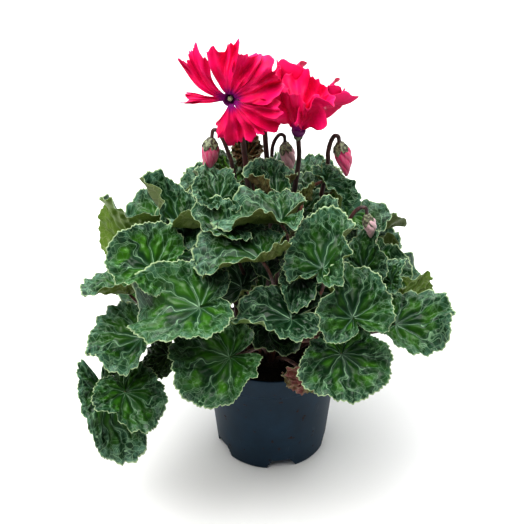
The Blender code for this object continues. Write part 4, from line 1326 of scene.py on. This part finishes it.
def aim(obj, target):
    """Turn a camera or a light so that it looks at a point."""
    obj.rotation_euler = (Vector(target) - obj.location).to_track_quat('-Z', 'Y').to_euler()


class CYCLAMEN_OT_stage(bpy.types.Operator):
    """Set the floor, the soft light and the camera"""

    bl_idname = "cyclamen.stage"
    bl_label = "Stage"

    def execute(self, context):
        scene = context.scene
        settings = scene.cyclamen_stage
        floor = bpy.data.meshes.new("floor")
        corners = [(x * FLOOR_HALF, y * FLOOR_HALF, 0) for x, y in ((-1, -1), (1, -1), (1, 1), (-1, 1))]
        floor.from_pydata(corners, [], [(0, 1, 2, 3)])
        material, tree, shader = new_material("floor_pale", 0.85)
        cloud = noise(tree, object_place(tree), 3.0, 2.0)
        paint(tree, shader, blend(tree, cloud, (0.86, 0.86, 0.86), (0.90, 0.90, 0.90)))
        floor.materials.append(material)
        obj = bpy.data.objects.new("floor", floor)
        scene.collection.objects.link(obj)
        world = bpy.data.worlds.new("studio")
        world.use_nodes = True
        tree = world.node_tree
        shade = tree.nodes["Background"]
        shade.inputs["Color"].default_value = (1.0, 1.0, 1.0, 1.0)
        seen = node(tree, 'ShaderNodeLightPath').outputs["Is Camera Ray"]
        tree.links.new(plus(tree, times(tree, seen, 0.80), 0.18), shade.inputs["Strength"])
        scene.world = world
        centre = (0.0, 0.0, 0.2)
        add_light("tent", (0.0, 0.6, 2.6), (0.0, 0.6, 0.0), 5.0, 165.0)
        add_light("key", (-0.55, -0.45, 1.4), centre, 1.1, 15.0, (1.0, 0.99, 0.97))
        add_light("rim", (0.3, 1.1, 1.1), centre, 0.9, 5.0, (0.95, 0.98, 1.0))
        lens = bpy.data.cameras.new("camera")
        lens.lens = settings.lens
        lens.sensor_width = 36.0
        camera = bpy.data.objects.new("camera", lens)
        camera.location = settings.camera
        aim(camera, settings.target)
        scene.collection.objects.link(camera)
        scene.camera = camera
        scene.view_settings.view_transform = 'Standard'
        scene.view_settings.look = 'Medium High Contrast'
        return {'FINISHED'}


class CYCLAMEN_PT_panel(bpy.types.Panel):
    """The steps of the potted cyclamen in order"""

    bl_label = "Potted cyclamen"
    bl_idname = "CYCLAMEN_PT_panel"
    bl_space_type = 'VIEW_3D'
    bl_region_type = 'UI'
    bl_category = "Cyclamen"

    def draw(self, context):
        for step in OPERATORS:
            self.layout.operator(step.bl_idname)
        for holder in ("cyclamen_leaf", "cyclamen_flower", "cyclamen_pot", "cyclamen_stage"):
            settings = getattr(context.scene, holder)
            box = self.layout.box()
            for field in settings.bl_rna.properties.keys()[2:]:
                box.prop(settings, field)


SETTINGS = {"cyclamen_leaf": LeafSettings, "cyclamen_flower": FlowerSettings,
            "cyclamen_pot": PotSettings, "cyclamen_stage": StageSettings}
OPERATORS = [CYCLAMEN_OT_pot, CYCLAMEN_OT_ground, CYCLAMEN_OT_leaves, CYCLAMEN_OT_stems,
             CYCLAMEN_OT_buds, CYCLAMEN_OT_flowers, CYCLAMEN_OT_stage]


def register():
    """Register the settings, the operators and the panel."""
    for name, kind in SETTINGS.items():
        bpy.utils.register_class(kind)
        setattr(bpy.types.Scene, name, bpy.props.PointerProperty(type=kind))
    for kind in OPERATORS + [CYCLAMEN_PT_panel]:
        bpy.utils.register_class(kind)


def unregister():
    """Undo register."""
    for kind in [CYCLAMEN_PT_panel] + OPERATORS[::-1]:
        bpy.utils.unregister_class(kind)
    for name, kind in SETTINGS.items():
        delattr(bpy.types.Scene, name)
        bpy.utils.unregister_class(kind)


def main():
    """Run every step in order."""
    register()
    for step in OPERATORS:
        getattr(bpy.ops.cyclamen, step.bl_idname.split(".")[1])()


if __name__ == "__main__":
    main()
